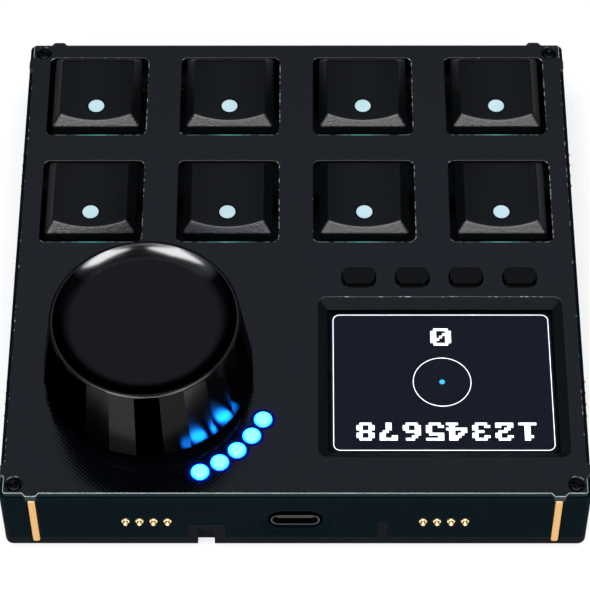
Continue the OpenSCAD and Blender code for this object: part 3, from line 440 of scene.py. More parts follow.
def makeLights(s, sky):
    for name, (turn, rise, width, height, power) in s["lamps"].items():
        turn, rise = math.radians(turn), math.radians(rise)
        place = Vector((math.sin(turn) * math.cos(rise), -math.cos(turn) * math.cos(rise), math.sin(rise)))
        data = bpy.data.lights.new(name, "AREA")
        data.shape = "RECTANGLE"
        data.size = width
        data.size_y = height
        data.energy = power
        lamp = bpy.data.objects.new(name, data)
        lamp.location = place * s["distance"]
        lamp.rotation_euler = (-place).to_track_quat("-Z", "Y").to_euler()
        scene.collection.objects.link(lamp)
    world = bpy.data.worlds.new("studio")
    world.use_nodes = True
    tree = world.node_tree
    tree.nodes.clear()
    direction = addNode(tree, "TexCoord").outputs["Generated"]
    height = addNode(tree, "SeparateXYZ", {"Vector": direction}).outputs["Z"]
    rise, fade = (addNode(tree, "MapRange", {
        "interpolation_type": "SMOOTHSTEP", "Value": height, "From Min": sky[low], "From Max": sky[high]})
        for low, high in (("from", "to"), ("fadeTo", "fadeFrom")))
    band = addNode(tree, "Math", {"operation": "MULTIPLY", 0: rise, 1: fade})
    colour = addNode(tree, "MixRGB", {"Fac": band, "Color1": sky["rest"], "Color2": sky["band"]})
    ground = addNode(tree, "Background", {"Color": colour})
    addNode(tree, "OutputWorld", {"Surface": ground})
    scene.world = world


makeFloor(floorSet)
makeLights(lampSet, skySet)
print("floor and lights made")

# Helpers for pieces


def finishPiece(name, mesh, body, materials, replaced=(), smoothAngle=35):
    mesh.name = name
    piece = bpy.data.objects.new(name, mesh)
    scene.collection.objects.link(piece)
    for material in materials if not mesh.materials else ():
        mesh.materials.append(material)
    mesh.shade_smooth()
    mesh.set_sharp_from_angle(angle=math.radians(smoothAngle))
    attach(piece, body)
    if replaced:
        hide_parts(*replaced)
    return piece


def toMesh(bm, outwards=True):
    if outwards:
        bmesh.ops.remove_doubles(bm, verts=bm.verts, dist=1e-7)
        bmesh.ops.recalc_face_normals(bm, faces=bm.faces)
    mesh = bpy.data.meshes.new("mesh")
    bm.to_mesh(mesh)
    bm.free()
    return mesh


def cadCopy(node, flat=0.6):
    # the CAD node's surface, joined, with its flat faces made single ones again
    bm = bmesh.new()
    bm.from_mesh(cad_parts[node].data)
    bmesh.ops.remove_doubles(bm, verts=bm.verts, dist=2e-6)
    bmesh.ops.dissolve_limit(bm, angle_limit=math.radians(flat), verts=bm.verts, edges=bm.edges)
    return bm


def dressedCopy(name, node, body, materials, width, segments=2, angle=32):
    # large faces with notches are cut into triangles first, as a bevel can fold them over; the last material
    # goes on the bevelled edges, and on the case and tray it is a paler one, a painted edge highlight
    bm = cadCopy(node)
    bmesh.ops.triangulate(bm, faces=[f for f in bm.faces if len(f.verts) > 4], ngon_method="BEAUTY")
    piece = finishPiece(name, toMesh(bm, False), body, materials, [node])
    bevel = piece.modifiers.new("bevel", "BEVEL")
    bevel.width = width
    bevel.segments = segments
    bevel.limit_method = "ANGLE"
    bevel.angle_limit = math.radians(angle)
    bevel.material = len(materials) - 1
    piece.modifiers.new("evenShading", "WEIGHTED_NORMAL").keep_sharp = True


def arcPoints(cx, cy, r, start, end, steps):
    turns = [math.radians(start + (end - start) * k / steps) for k in range(steps + 1)]
    return [(cx + r * math.cos(t), cy + r * math.sin(t)) for t in turns]


def circlePoints(centre, r, steps):
    return arcPoints(centre[0], centre[1], r, 0, 360, steps)[:-1]


def roundedRing(w, d, r, steps, along=1):
    # points round a rectangle with round corners, with some along each straight side
    corners = [arcPoints(cx * (w / 2 - r), cy * (d / 2 - r), r, start, start + 90, steps)
               for cx, cy, start in ((1, -1, -90), (1, 1, 0), (-1, 1, 90), (-1, -1, 180))]
    points = []
    for place, corner in enumerate(corners):
        (x, y), (toX, toY) = corner[-1], corners[(place + 1) % 4][0]
        points += corner
        points += [(x + (toX - x) * k / along, y + (toY - y) * k / along) for k in range(1, along)]
    return points


def skin(bm, rings, closed=False, tags=None):
    # joins rings of points of equal length with faces; a ring of one point is a pole
    rows = [[bm.verts.new(p) for p in ring] for ring in rings]
    count = max(len(row) for row in rows)
    for place in range(len(rows) if closed else len(rows) - 1):
        a, b = rows[place], rows[(place + 1) % len(rows)]
        for k in range(count):
            n = (k + 1) % count
            corners = [a[k % len(a)], a[n % len(a)], b[n % len(b)], b[k % len(b)]]
            corners = list(dict.fromkeys(corners))
            if len(corners) > 2:
                bm.faces.new(corners).material_index = tags[place] if tags else 0


def lathe(bm, profile, centre, steps):
    # turns a profile of radius and height, from axis to axis, about an upright axis
    skin(bm, [[(x, y, z) for x, y in circlePoints(centre, r, steps if r > 0 else 1)] for r, z in profile])


def addSlab(bm, low, high):
    corners = [bm.verts.new((x, y, z)) for z in (low[2], high[2])
               for x, y in ((low[0], low[1]), (high[0], low[1]), (high[0], high[1]), (low[0], high[1]))]
    for ring in ((3, 2, 1, 0), (4, 5, 6, 7), (0, 1, 5, 4), (1, 2, 6, 5), (2, 3, 7, 6), (3, 0, 4, 7)):
        bm.faces.new([corners[k] for k in ring])


def newTree(name, sockets):
    # a Geometry Nodes tree with named inputs of each kind; gives back the tree and its inputs' sockets
    tree = bpy.data.node_groups.new(name, "GeometryNodeTree")
    tree.interface.new_socket("Geometry", in_out="OUTPUT", socket_type="NodeSocketGeometry")
    for kind, labels in {"Geometry": ["Geometry"], "Material": ["Material"], **sockets}.items():
        for label in labels:
            tree.interface.new_socket(label, in_out="INPUT", socket_type=f"NodeSocket{kind}")
    return tree, addNode(tree, "NodeGroupInput").outputs


def endTree(tree, geometry):
    real = addNode(tree, "RealizeInstances", {"Geometry": geometry})
    dressed = addNode(tree, "SetMaterial", {"Geometry": real})
    given = next(n for n in tree.nodes if n.bl_idname == "NodeGroupInput")
    feed(tree, dressed, "Material", given.outputs["Material"])
    addNode(tree, "NodeGroupOutput", {"Geometry": dressed})


def runTree(tree, mesh, values):
    # runs the tree on a mesh with its inputs set, and gives back the plain mesh that it makes
    host = bpy.data.objects.new(tree.name, mesh)
    scene.collection.objects.link(host)
    modifier = host.modifiers.new("nodes", "NODES")
    modifier.node_group = tree
    for item in tree.interface.items_tree:
        if item.in_out == "INPUT" and item.name in values:
            modifier[item.identifier] = values[item.name]
    ready = host.evaluated_get(bpy.context.evaluated_depsgraph_get())
    made = bpy.data.meshes.new_from_object(ready)
    host.modifiers.clear()
    bpy.data.objects.remove(host)
    return made


# Case, tray and panel

caseSet = {"bevel": 0.15 * mm, "trayBevel": 0.2 * mm}


def makeCase(s):
    dressedCopy("caseBody", "case_shell", "case", [caseBlack, caseEdgeHighlight], s["bevel"])
    dressedCopy("trayBody", "base_tray", "case", [trayBlack, caseEdgeHighlight], s["trayBevel"])


panelSet = {
    "strip": 0.15 * mm,        # width of the worn strip along a cut edge
    "worn": 0.06 * mm,         # how far that strip falls off
    "cut": 0.8 * mm,           # spacing of points along an edge
    # painted glow along the front edge of each key opening: its reach either side of the middle, and its
    # strength
    "glowReach": 3.0 * mm, "glow": 3.2,
    "keyOpening": 19.6 * mm,
    "side": 0.93, "screenSide": 0.99,      # share of the way out from an opening's middle where a side begins
    "rimReach": 2.9 * mm,      # how far in from the outline a wall still counts as the panel's side
    # how pale each side is, bare laminate and painted highlight together: under about 0.4 only specks show,
    # over 0.7 all of it
    "outside": 1.0, "outsideSides": 0.39,
    "right": 0.48, "front": 0.53, "left": 0.27, "back": 0.3, "backCorner": 0.5, "screenBack": 0.42,
}


def cutEdge(edge, parts):
    start, end = edge.verts
    for k in range(parts, 1, -1):
        start = bmesh.utils.edge_split(edge, start, 1 / k)[1]
        edge = next(e for e in start.link_edges if e.other_vert(start) == end)


def groupsOf(faces):
    # the strips, each one all the faces round one opening
    left, groups = set(faces), []
    while left:
        group, waiting = set(), [left.pop()]
        while waiting:
            face = waiting.pop()
            group.add(face)
            near = {f for e in face.edges for f in e.link_faces if f in left}
            left -= near
            waiting += near
        groups.append(group)
    return groups


def bareAndHighlightAt(s, x, y, size, backRow):
    # x and y run from -1 to 1 across the opening; gives how pale the edge is there, bare laminate with a
    # painted highlight set side by side
    side = s["side"]
    if size[0] > 4 * s["keyOpening"]:
        return s["outside"] if abs(y) > side else s["outsideSides"]
    if abs(size[0] - s["keyOpening"]) < mm:
        if y > side:
            corner = s["backCorner"] if abs(x) > side else 0
            return max(corner, s["back"] if backRow else 0)
        if x > side:
            return s["right"]
        return s["front"] if y < -side else s["left"]
    return s["screenBack"] if size[0] > s["keyOpening"] and y > s["screenSide"] else 0


def makePanel(s):
    low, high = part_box("top_panel")
    bm = cadCopy("top_panel")
    top = {f for f in bm.faces if f.normal.z > 0.99 and f.calc_center_median().z > high.z - 0.01 * mm}
    rim = [e for e in bm.edges if len([f for f in e.link_faces if f in top]) == 1]
    for edge in rim:
        cutEdge(edge, round(edge.calc_length() / s["cut"]))
    strip = bmesh.ops.inset_region(bm, faces=list(top), thickness=s["strip"], use_boundary=True,
                                   use_even_offset=True)["faces"]
    outer = {v for f in strip for v in f.verts if not any(n in top for n in v.link_faces)}
    for vert in outer:
        vert.co.z -= s["worn"]
    bareAndHighlight = bm.verts.layers.float.new("bareAndHighlight")
    glow = bm.verts.layers.float.new("glow")
    for group in groupsOf(strip):
        verts = {v for f in group for v in f.verts}
        sizes = [(min(v.co[k] for v in verts), max(v.co[k] for v in verts)) for k in (0, 1)]
        size = [b - a for a, b in sizes]
        middle = [(a + b) / 2 for a, b in sizes]
        isKey = abs(size[0] - s["keyOpening"]) < mm
        for vert in verts:
            x, y = ((vert.co[k] - middle[k]) / size[k] * 2 for k in (0, 1))
            # painted highlight: each side of an opening gets its own paleness
            vert[bareAndHighlight] = bareAndHighlightAt(s, x, y, size, middle[1] > s["keyOpening"])
            # painted glow: the front strip of each key opening gives off light, strongest at its middle
            if isKey and y < -s["side"]:
                vert[glow] = s["glow"] * math.exp(-((vert.co.x - middle[0]) / s["glowReach"]) ** 2)
        for face in group:
            face.material_index = 1 if isKey or size[0] > 2 * s["keyOpening"] else 0
    screenLow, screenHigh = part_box("display_glass")
    for face in bm.faces:
        middle = face.calc_center_median()
        inScreen = screenLow.x < middle.x < screenHigh.x and screenLow.y < middle.y < screenHigh.y
        if 0.2 < face.normal.z < 0.97 and inScreen and face not in strip:
            face.material_index = 2
        elif abs(face.normal.z) < 0.2 and max(abs(middle.x), abs(middle.y)) > high.x - s["rimReach"]:
            face.material_index = 3
    finishPiece("frontPanel", toMesh(bm, False), "case",
                [laminate, laminateEdgePaintedLight, slopeBlack, panelSide], ["top_panel"], 4)


makeCase(caseSet)
makePanel(panelSet)
print("case made")

# Keys

keySet = {
    "skirt": 17.2 * mm, "top": 13.9 * mm, "skirtRound": 0.7 * mm, "topRound": 0.6 * mm,
    "rise": 2.1 * mm,          # height of the slopes
    "edge": 0.3 * mm,          # reach of the rounding where the slopes meet the hollow
    "fold": 0.1 * mm,          # rounding between skirt and slopes
    "foot": 0.15 * mm, "dish": 1.05 * mm, "wall": 1.2 * mm,
    "window": 1.83 * mm, "windowAt": 4.2 * mm,
    "cornerSteps": 6, "sideSteps": 20, "edgeSteps": 4, "topRows": 12,
    "gather": 0.8,             # how much the top's rows close up towards its edge
    "rounds": 20,              # of the search for where the hollow cuts the slope off
}


def capRows(s, low, high):
    # rings of points round the cap's own middle, from the foot over the top and back inside,
    # and how many of them lie below the hollow top
    bend = bendOf(s["top"] / 2, s["dish"])
    skirtTop = high - s["rise"]
    slant = math.hypot((s["skirt"] - s["top"]) / 2, s["rise"])

    def hollow(x):
        reach = min(abs(x), s["top"] / 2)
        return high - s["dish"] + bend - math.sqrt(bend ** 2 - reach ** 2)

    def ring(w, r, z):
        return [(x, y, z) for x, y in roundedRing(w, w, r, s["cornerSteps"], s["sideSteps"])]

    def onSlope(place, up):
        return base[place].lerp(crown[place], up)

    base = [Vector(p) for p in ring(s["skirt"], s["skirtRound"], skirtTop)]
    crown = [Vector(p) for p in ring(s["top"], s["topRound"], high)]
    inner = [Vector(p) for p in ring(s["top"] - s["topRound"], s["topRound"] / 2, high)]
    places = range(len(base))
    edges = []
    for place in places:
        up = 1
        for step in range(s["rounds"]):
            up = min(1, (hollow(onSlope(place, up).x) - skirtTop) / s["rise"])
        edges.append(up)
    slopeRows = [[onSlope(k, reach / slant) for k in places] for reach in (s["fold"], 2.5 * s["fold"])]
    slopeRows.append([onSlope(k, edges[k] - 2 * s["edge"] / slant) for k in places])
    turnRows = [[] for step in range(s["edgeSteps"] + 1)]
    for place, up in enumerate(edges):
        start = onSlope(place, up - s["edge"] / slant)
        corner = onSlope(place, up)
        inwards = (inner[place] - corner).to_2d().normalized() * s["edge"]
        end = Vector((corner.x + inwards.x, corner.y + inwards.y, 0))
        end.z = hollow(end.x)
        for step, row in enumerate(turnRows):
            t = step / s["edgeSteps"]
            row.append(start * (1 - t) ** 2 + corner * 2 * t * (1 - t) + end * t ** 2)
    middle = Vector((0, -s["windowAt"], 0))
    window = [middle + (p - middle).to_2d().normalized().to_3d() * s["window"] for p in turnRows[-1]]
    topRows = []
    for step in range(1, s["topRows"] + 1):
        share = (step / s["topRows"]) ** s["gather"]
        row = [p.lerp(q, share) for p, q in zip(turnRows[-1], window)]
        topRows.append([Vector((p.x, p.y, hollow(p.x))) for p in row])
    ceiling = high - s["dish"] - s["wall"]
    room = s["skirt"] - 2 * s["wall"]
    rows = [ring(s["skirt"] - 2 * s["foot"], s["skirtRound"] - s["foot"], low)]
    for z in (low + s["foot"], skirtTop - 2.5 * s["fold"], skirtTop - s["fold"]):
        rows.append(ring(s["skirt"], s["skirtRound"], z))
    rows += slopeRows + turnRows
    belowTop = len(rows) - 2
    rows += topRows
    rows.append([(p.x, p.y, ceiling) for p in window])
    rows += [ring(room, s["skirtRound"] / 2, z) for z in (ceiling, low)]
    return rows, belowTop


def makeCap(index, s):
    node = f"key_cap_{index}"
    low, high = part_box(node)
    centre = middleOf(node)
    rows, belowTop = capRows(s, low.z, high.z)
    tags = [1 if k < belowTop else 0 for k in range(len(rows))]
    bm = bmesh.new()
    skin(bm, [[(p[0] + centre.x, p[1] + centre.y, p[2]) for p in row] for row in rows], True, tags)
    bmesh.ops.recalc_face_normals(bm, faces=bm.faces)
    for face in bm.faces:        # painted light: the front slope takes the glossy lit copy, the other slopes and the skirt the dull shaded copy
        if face.material_index == 1 and not (face.normal.y < -0.4 and face.normal.z > 0.2):
            face.material_index = 2
    finishPiece(f"cap{index}", toMesh(bm), f"key_{index}",
                [capTopBlack, capFrontLitCopy, capFlankShadedCopy], [node], 28)


for index in range(1, 9):
    makeCap(index, keySet)
print("caps made")

# Key springs: one open coil in each switch

springSet = {
    "outer": 3.4 * mm, "wire": 0.35 * mm, "turns": 7.5, "pointsPerTurn": 20, "sides": 8,
    "low": 8.65 * mm, "height": 9.5 * mm, "axis": -0.2 * mm, "travel": 2.8 * mm,
}


def springTree():
    tree, given = newTree("coilSpring", {
        "Int": ["Points", "Sides"], "Vector": ["Place"],
        "Float": ["Turns", "Radius", "Height", "Wire radius"]})
    coil = addNode(tree, "CurveSpiral", {
        "Resolution": given["Points"], "Rotations": given["Turns"], "Start Radius": given["Radius"],
        "End Radius": given["Radius"], "Height": given["Height"]})
    wire = addNode(tree, "CurvePrimitiveCircle", {
        "Resolution": given["Sides"], "Radius": given["Wire radius"]})
    swept = addNode(tree, "CurveToMesh", {
        "Fill Caps": True, "Curve": coil, "Profile Curve": wire})
    placed = addNode(tree, "Transform", {"Geometry": swept, "Translation": given["Place"]})
    endTree(tree, placed)
    return tree


def makeSprings(s):
    tree = springTree()
    for index in range(1, 9):
        centre = middleOf(f"key_cap_{index}")
        foot = (centre.x, centre.y + s["axis"], s["low"])
        coil = runTree(tree, bpy.data.meshes.new("coil"), {
            "Turns": s["turns"], "Points": s["pointsPerTurn"], "Radius": (s["outer"] - s["wire"]) / 2,
            "Height": s["height"] - s["wire"], "Wire radius": s["wire"] / 2, "Sides": s["sides"],
            "Place": (*foot[:2], foot[2] + s["wire"] / 2), "Material": wireSteel})
        spring = finishPiece(f"keySpring{index}", coil, "case", [wireSteel],
                             ["key_springs"], 60)
        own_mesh(spring)


makeSprings(springSet)
print("springs made")

# Jog knob

knobSet = {
    "foot": 19.35 * mm, "shoulder": 17.25 * mm, "footRound": 0.5 * mm, "shoulderRound": 0.45 * mm,
    "rim": 0.25 * mm, "flat": 13.4 * mm, "dish": 0.9 * mm, "wall": 2.2 * mm, "crown": 2.4 * mm,
    "hub": 5.0 * mm, "bore": 3.06 * mm, "hubLow": 2.8 * mm, "boreGap": 0.1 * mm,
    "flats": 24, "flatTurn": 10.4, "stepsPerFlat": 8,      # shallow flats round the side, turned in degrees
    # painted reflection: how bright a flat and the round above it are made to reflect, and which flats are
    # painted brighter or darker
    "plain": 0.002, "crestPaintedHighlight": 0.046, "plainDish": 0.026, "ringPaintedReflection": 0.004,
    "dishBackPaintedHighlight": 0.14, "dishFrom": 54, "dishTo": 40,      # painted highlight at the back of the hollow, in degrees either side
    "paintedReflection": {15: 0.045, 16: 0.036, 17: 0.002, 18: 0.02, 19: 0.07, 20: 0.12, 21: 0.13, 22: 0.14},
    "floorRings": 6,           # of the dish's flat
    "support": 0.3 * mm,       # rows near the ends of the flats, which keep their shading even
}


def hollowEdge(s):
    return s["shoulder"] - s["shoulderRound"] - s["rim"]


def knobProfile(s, low, high):
    # radius, height and flatness of each ring, up the outside, over the hollow and down inside,
    # and the rings of the outside alone; flatness 1 is on straight flats, 0 on a circle
    lean = math.atan2(s["foot"] - s["shoulder"], high - low)
    run = hollowEdge(s) - s["flat"]
    bend = bendOf(run, s["dish"])
    steep = math.degrees(math.asin(run / bend))
    floorZ = high - s["dish"]
    foot = arcPoints(s["foot"] - s["footRound"], low + s["footRound"], s["footRound"],
                     -90, math.degrees(lean), 10)
    crest = arcPoints(s["shoulder"] - s["shoulderRound"], high - s["shoulderRound"],
                      s["shoulderRound"], math.degrees(lean), 90, 12)
    down = Vector((math.sin(lean), -math.cos(lean))) * s["support"]
    nearFoot = (foot[-1][0] - down.x, foot[-1][1] - down.y)
    nearCrest = (crest[0][0] + down.x, crest[0][1] + down.y)
    fade = (1, 0.75, 0.35, 0.1)        # the flats run out in the round of the shoulder
    outside = [(*p, 1) for p in foot + [nearFoot, nearCrest]]
    outside += [(*p, fade[k] if k < len(fade) else 0) for k, p in enumerate(crest)]
    dish = arcPoints(s["flat"], floorZ + bend, bend, steep - 90, -90, 16)
    floor = [(s["flat"] * k / s["floorRings"], floorZ) for k in reversed(range(s["floorRings"]))]
    outside += [(*p, 0) for p in dish + floor]
    ceiling, hubLow = floorZ - s["crown"], low + s["hubLow"]
    boreTop = ceiling - s["boreGap"]
    inside = [(0, boreTop), (s["bore"], boreTop), (s["bore"], hubLow), (s["hub"], hubLow),
              (s["hub"], ceiling), (s["shoulder"] - s["wall"], ceiling), (s["foot"] - s["wall"], low)]
    return outside + [(*p, 0) for p in inside], len(outside)


def paintedReflectionAt(s, offset, height):
    # painted reflection: how bright the knob is made to reflect at a place off its axis and at a height below
    # its top
    turn, reach = math.atan2(offset.y, offset.x) - math.radians(s["flatTurn"]), offset.length
    if reach < hollowEdge(s):
        share = min(1, max(0, (reach - s["flat"]) / (hollowEdge(s) - s["flat"]) * 2))
        fromBack = abs(math.degrees(math.atan2(offset.x, offset.y)))
        backShare = min(1, max(0, (s["dishFrom"] - fromBack) / (s["dishFrom"] - s["dishTo"])))
        outer = s["ringPaintedReflection"] + (s["dishBackPaintedHighlight"] - s["ringPaintedReflection"]) * backShare
        return s["plainDish"] + (outer - s["plainDish"]) * share
    if height < s["shoulderRound"]:
        return s["crestPaintedHighlight"]
    return s["paintedReflection"].get(int(turn % math.tau / (math.tau / s["flats"])), s["plain"])


def makeKnob(s):
    low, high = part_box("jog_knob")
    centre = middleOf("jog_knob")
    profile, outside = knobProfile(s, low.z, high.z)
    step, count = math.tau / s["flats"], s["stepsPerFlat"]

    def ring(r, z, flatness):
        points = []
        for k in range(s["flats"] * count if r else 1):
            turn = step * k / count + math.radians(s["flatTurn"])
            cut = math.cos(step / 2) / math.cos(step * (k % count / count - 0.5))
            reach = r * (1 - flatness + flatness * cut)
            points.append((centre.x + reach * math.cos(turn), centre.y + reach * math.sin(turn), z))
        return points

    tags = [1 if outside - s["floorRings"] - 1 <= k < outside else 0 for k in range(len(profile))]
    bm = bmesh.new()
    skin(bm, [ring(*place) for place in profile], True, tags)
    mesh = toMesh(bm)
    # painted reflection, face by face
    paintedReflection = mesh.attributes.new("paintedReflection", "FLOAT", "FACE")
    for face in mesh.polygons:
        paintedReflection.data[face.index].value = paintedReflectionAt(s, (face.center - centre).xy, high.z - face.center.z)
    finishPiece("jogKnob", mesh, "knob", [knobSide, knobTop], ["jog_knob"], 12)


makeKnob(knobSet)
print("knob made")

# Ring lights: five domed pipes in an arc round the knob, on one curved strip


def lightTree():
    tree, given = newTree("ringLights", {
        "Int": ["Lights", "Web points"], "Vector": ["Axis"], "Float": [
            "Radius", "First", "Sweep", "Web first", "Web sweep", "Web width", "Web thick", "Web height"]})
    places = addNode(tree, "CurveArc", {
        "Resolution": given["Lights"], "Radius": given["Radius"], "Start Angle": given["First"],
        "Sweep Angle": given["Sweep"]})
    pipes = addNode(tree, "InstanceOnPoints", {"Points": places, "Instance": given["Geometry"]})
    path = addNode(tree, "CurveArc", {
        "Resolution": given["Web points"], "Radius": given["Radius"], "Start Angle": given["Web first"],
        "Sweep Angle": given["Web sweep"]})
    upright = addNode(tree, "SetCurveNormal", {"mode": "Z_UP", "Curve": path})
    section = addNode(tree, "CurvePrimitiveQuadrilateral", {
        "Width": given["Web width"], "Height": given["Web thick"]})
    web = addNode(tree, "CurveToMesh", {
        "Fill Caps": True, "Curve": upright, "Profile Curve": section})
    down = addNode(tree, "ShaderNodeCombineXYZ", {"Z": given["Web height"]})
    lowered = addNode(tree, "Transform", {"Geometry": web, "Translation": down})
    both = addNode(tree, "JoinGeometry", {"Geometry": pipes})
    feed(tree, both, "Geometry", lowered)
    placed = addNode(tree, "Transform", {"Geometry": both, "Translation": given["Axis"]})
    endTree(tree, placed)
    return tree


def makeRingLights(s):
    low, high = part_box("light_pipes")
    axis, first, step, radius = lightArc(s)
    sweep = step * (s["count"] - 1)
    end = math.radians(s["webEnd"])
    domeFoot = high.z - s["dome"]
    bend = bendOf(s["pipe"], s["dome"])
    steep = math.degrees(math.asin(s["pipe"] / bend))
    bm = bmesh.new()
    dome = arcPoints(0, high.z - bend, bend, 90 - steep, 90, s["domeRows"])[:-1]
    lathe(bm, [(0, low.z), (s["pipe"], low.z), *dome, (0, high.z)], (0, 0), s["steps"])
    lights = runTree(lightTree(), toMesh(bm), {
        "Lights": s["count"], "Radius": radius, "First": first, "Sweep": sweep, "Web first": first - end,
        "Web sweep": sweep + 2 * end, "Web width": s["webWidth"], "Web thick": s["webThick"],
        "Web points": s["webPoints"], "Web height": domeFoot - s["webUnder"],
        "Axis": (axis.x, axis.y, 0), "Material": pipeLit})
    finishPiece("ringLights", lights, "case", [pipeLit], ["light_pipes"])


makeRingLights(lightSet)
print("lights made")

# Display

screenSet = {
    "middle": (27.2 * mm, -26.92 * mm), "width": 40.5 * mm, "height": 30.2 * mm, "round": 1.3 * mm,
    "line": 0.14 * mm, "circle": 5.42 * mm, "dot": 0.52 * mm, "thick": 0.04 * mm,
    "lit": 0.35 * mm,          # how far the lit area reaches past the outline
    "circleAt": (27.15 * mm, -27.0 * mm), "zeroAt": (27.15 * mm, -16.9 * mm),
    "rowAt": (27.4 * mm, -37.9 * mm),
    "pixel": 0.55 * mm, "advance": 7.7,        # from digit to digit, in pixels
    "circleSteps": 96, "dotSteps": 24,
}

# plain digits, seven dots wide and seven high
digitDots = {
    "0": "0111110 1100011 1100111 1101011 1110011 1100011 0111110",
    "1": "0011000 0111000 0011000 0011000 0011000 0011000 1111110",
    "2": "0111100 1100110 0000110 0011100 0110000 1100110 1111110",
    "3": "0111100 1100110 0000110 0011100 0000110 1100110 0111100",
    "4": "0001110 0011110 0110110 1100110 1111111 0000110 0001111",
    "5": "1111110 1100000 1111100 0000110 0000110 1100110 0111100",
    "6": "0011100 0110000 1100000 1111100 1100110 1100110 0111100",
    "7": "1111110 1100110 0000110 0001100 0011000 0011000 0011000",
    "8": "0111100 1100110 1100110 0111100 1100110 1100110 0111100",
}


def addLine(bm, outer, inner, z0, z1):
    rings = ((outer, z0), (outer, z1), (inner, z1), (inner, z0))
    skin(bm, [[(x, y, z) for x, y in ring] for ring, z in rings], True)


def addDigits(bm, s, text, place, z0, z1, upsideDown=False):
    # each run of dots in a row is one slab
    way = -1 if upsideDown else 1
    for number, digit in enumerate(text):
        rows = digitDots[digit].split()
        left = (number - (len(text) - 1) / 2) * s["advance"] - len(rows[0]) / 2
        for line, row in enumerate(rows):
            start = 0
            while "1" in row[start:]:
                start = row.index("1", start)
                end = row.find("0", start) if "0" in row[start:] else len(row)
                xs = sorted(place[0] + way * (left + k) * s["pixel"] for k in (start, end))
                ys = sorted(place[1] + way * (len(rows) / 2 - line - k) * s["pixel"] for k in (0, 1))
                addSlab(bm, (xs[0], ys[0], z0), (xs[1], ys[1], z1))
                start = end


def makeDisplay(s):
    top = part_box("display_module")[1].z
    z0, z1 = top, top + s["thick"]

    def frameRing(inset):
        ring = roundedRing(s["width"] - 2 * inset, s["height"] - 2 * inset, s["round"] - inset, 6)
        return [(s["middle"][0] + x, s["middle"][1] + y) for x, y in ring]

    bm = bmesh.new()
    addLine(bm, frameRing(0), frameRing(s["line"]), z0, z1)
    addLine(bm, *(circlePoints(s["circleAt"], s["circle"] - inset, s["circleSteps"])
                  for inset in (0, s["line"])), z0, z1)
    addDigits(bm, s, "0", s["zeroAt"], z0, z1)
    addDigits(bm, s, "12345678", s["rowAt"], z0, z1, True)
    bmesh.ops.recalc_face_normals(bm, faces=bm.faces)
    finishPiece("screenMarks", toMesh(bm, False), "case", [screenWhite])
    bm = bmesh.new()
    lathe(bm, [(0, z0), (s["dot"], z0), (s["dot"], z1), (0, z1)], s["circleAt"], s["dotSteps"])
    finishPiece("screenDot", toMesh(bm), "case", [screenBlue])
    bm = cadCopy("display_module")
    face = max((f for f in bm.faces if f.normal.z > 0.99), key=lambda f: f.calc_center_median().z)
    lit = [bm.verts.new((x, y, top)) for x, y in frameRing(-s["lit"])]
    litEdges = [bm.edges.new((lit[k - 1], lit[k])) for k in range(len(lit))]
    around = list(face.edges)
    bm.faces.remove(face)
    bmesh.ops.triangle_fill(bm, edges=around + litEdges, use_beauty=True)
    for face in bm.faces:
        face.material_index = 1
    bm.faces.new(lit)
    bmesh.ops.recalc_face_normals(bm, faces=bm.faces)
    finishPiece("screenModule", toMesh(bm, False), "case",
                [screenDark, screenBorder], ["display_module"])
    finishPiece("screenGlass", toMesh(cadCopy("display_glass"), False), "case",
                [glassClear], ["display_glass"])


makeDisplay(screenSet)
print("display made")

# Corner screws: black cross-recess screws, each stopped at its own turn

screwSet = {
    "head": 1.25 * mm, "headHeight": 0.8 * mm, "shank": 0.7 * mm, "headRound": 0.3 * mm,
    "armLong": 0.86 * mm, "armWide": 0.24 * mm, "recess": 0.5 * mm, "taper": 0.6, "steps": 36, "seed": 3,
}


def makeScrewHead(s, low, high):
    bm = bmesh.new()
    under = high - s["headHeight"]
    crest = arcPoints(s["head"] - s["headRound"], high - s["headRound"], s["headRound"], 0, 90, 4)
    lathe(bm, [(0, low), (s["shank"], low), (s["shank"], under), (s["head"], under), *crest],
          (0, 0), s["steps"])
    a, b = s["armLong"], s["armWide"]
    cross = [(a, -b), (a, b), (b, b), (b, a), (-b, a), (-b, b), (-a, b), (-a, -b), (-b, -b), (-b, -a),
             (b, -a), (b, -b)]
    bm.edges.ensure_lookup_table()
    edges = [e for e in bm.edges if all(v.co.z > high - 1e-9 for v in e.verts)]
    mouth = [bm.verts.new((x, y, high)) for x, y in cross]
    floor = [bm.verts.new((x * s["taper"], y * s["taper"], high - s["recess"])) for x, y in cross]
    edges += [bm.edges.new((mouth[k - 1], mouth[k])) for k in range(len(cross))]
    bmesh.ops.triangle_fill(bm, edges=edges, use_beauty=True)
    for k in range(len(cross)):
        bm.faces.new((mouth[k - 1], mouth[k], floor[k], floor[k - 1]))
    bm.faces.new(floor)
    return toMesh(bm)


def screwTree():
    tree, given = newTree("cornerScrews", {"Float": ["Spacing"], "Int": ["Seed"]})
    corners = addNode(tree, "MeshGrid", {
        "Vertices X": 2, "Vertices Y": 2, "Size X": given["Spacing"], "Size Y": given["Spacing"]})
    turn = addNode(tree, "FunctionNodeRandomValue", {
        "data_type": "FLOAT_VECTOR", 0: (0, 0, 0), 1: (0, 0, math.radians(90)), "Seed": given["Seed"]})
    screws = addNode(tree, "InstanceOnPoints", {
        "Points": corners, "Instance": given["Geometry"], "Rotation": turn})
    endTree(tree, screws)
    return tree


def makeScrews(s):
    low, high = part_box("corner_screws")
    screw = makeScrewHead(s, low.z, high.z)
    four = runTree(screwTree(), screw, {
        "Spacing": 2 * (high.x - s["head"]), "Seed": s["seed"], "Material": blackSteel})
    finishPiece("cornerScrews", four, "case", [blackSteel], ["corner_screws"])


makeScrews(screwSet)
print("screws made")

# Menu buttons, docking rods and the contact strips in the socket

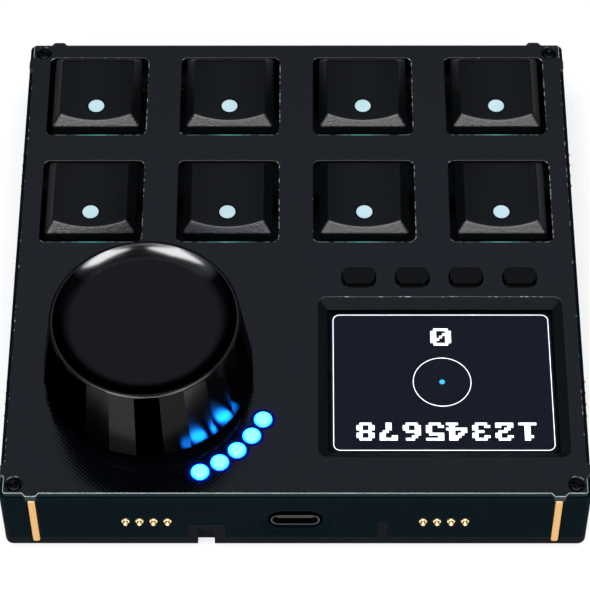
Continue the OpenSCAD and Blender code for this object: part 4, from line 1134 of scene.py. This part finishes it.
smallSet = {
    "buttonBevel": 0.4 * mm, "rodEdge": 0.3 * mm, "rodSteps": 48,
    "strips": 12, "stripPitch": 0.5 * mm, "stripWide": 0.25 * mm, "stripLong": 3.2 * mm,
    "stripThick": 0.03 * mm, "tongueHalf": 0.35 * mm, "stripStart": 0.35 * mm,
}


def makeButtons(s):
    for index in range(1, 5):
        dressedCopy(f"menuKey{index}", f"menu_button_{index}", f"button_{index}",
                    [buttonBlack], s["buttonBevel"], 4, 40)


def makeRods(s):
    for index in range(1, 9):
        node = f"magnet_rod_{index}"
        low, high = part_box(node)
        r, edge = (high.x - low.x) / 2, s["rodEdge"]
        profile = [(0, low.z), (r - edge, low.z), (r, low.z + edge), (r, high.z - edge), (r - edge, high.z),
                   (0, high.z)]
        bm = bmesh.new()
        lathe(bm, profile, middleOf(node), s["rodSteps"])
        finishPiece(f"dockRod{index}", toMesh(bm), f"rod_{index}", [goldRod], [node])


def stripTree():
    tree, given = newTree("contactStrips", {"Int": ["Strips"], "Vector": ["Pitch", "First", "Across"]})
    row = addNode(tree, "MeshLine", {
        "mode": "OFFSET", "Count": given["Strips"], "Start Location": given["First"],
        "Offset": given["Pitch"]})
    strips = addNode(tree, "InstanceOnPoints", {"Points": row, "Instance": given["Geometry"]})
    under = addNode(tree, "Transform", {"Geometry": strips, "Translation": given["Across"]})
    both = addNode(tree, "JoinGeometry", {"Geometry": strips})
    feed(tree, both, "Geometry", under)
    endTree(tree, both)
    return tree


def makeStrips(s):
    middle = middleOf("usb_shell")
    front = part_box("usb_tongue")[0].y + s["stripStart"]
    bm = bmesh.new()
    addSlab(bm, (-s["stripWide"] / 2, 0, 0), (s["stripWide"] / 2, s["stripLong"], s["stripThick"]))
    half = (s["strips"] - 1) * s["stripPitch"] / 2
    strips = runTree(stripTree(), toMesh(bm), {
        "Strips": s["strips"], "Pitch": (s["stripPitch"], 0, 0),
        "First": (middle.x - half, front, middle.z + s["tongueHalf"]),
        "Across": (0, 0, -2 * s["tongueHalf"] - s["stripThick"]), "Material": goldPlate})
    finishPiece("usbContacts", strips, "case", [goldPlate])


makeButtons(smallSet)
makeRods(smallSet)
makeStrips(smallSet)
print("small parts made")

# Pieces that keep their CAD mesh

finishes = [
    (rubberBlack, "rubber_feet"), (boardBlack, "main_board"), (chipEpoxy, "board_chips"),
    (chipWhite, "light_chips"), (filmBrown, "display_ribbon"), (portSteel, "usb_shell"),
    (innerBlack, "switch_housings menu_switches usb_tongue contact_blocks"),
    (nickelPlate, "board_screws encoder_body encoder_nut encoder_shaft"),
    (goldPlate, "pin_barrels pins_front pins_back pins_left pins_right"),
    (stemClear, " ".join(f"key_stem_{index}" for index in range(1, 9))),
]


def dressNodes(table):
    for material, nodes in table:
        for node in nodes.split():
            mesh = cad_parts[node].data
            mesh.materials.clear()
            mesh.materials.append(material)


dressNodes(finishes)
print("nodes dressed")
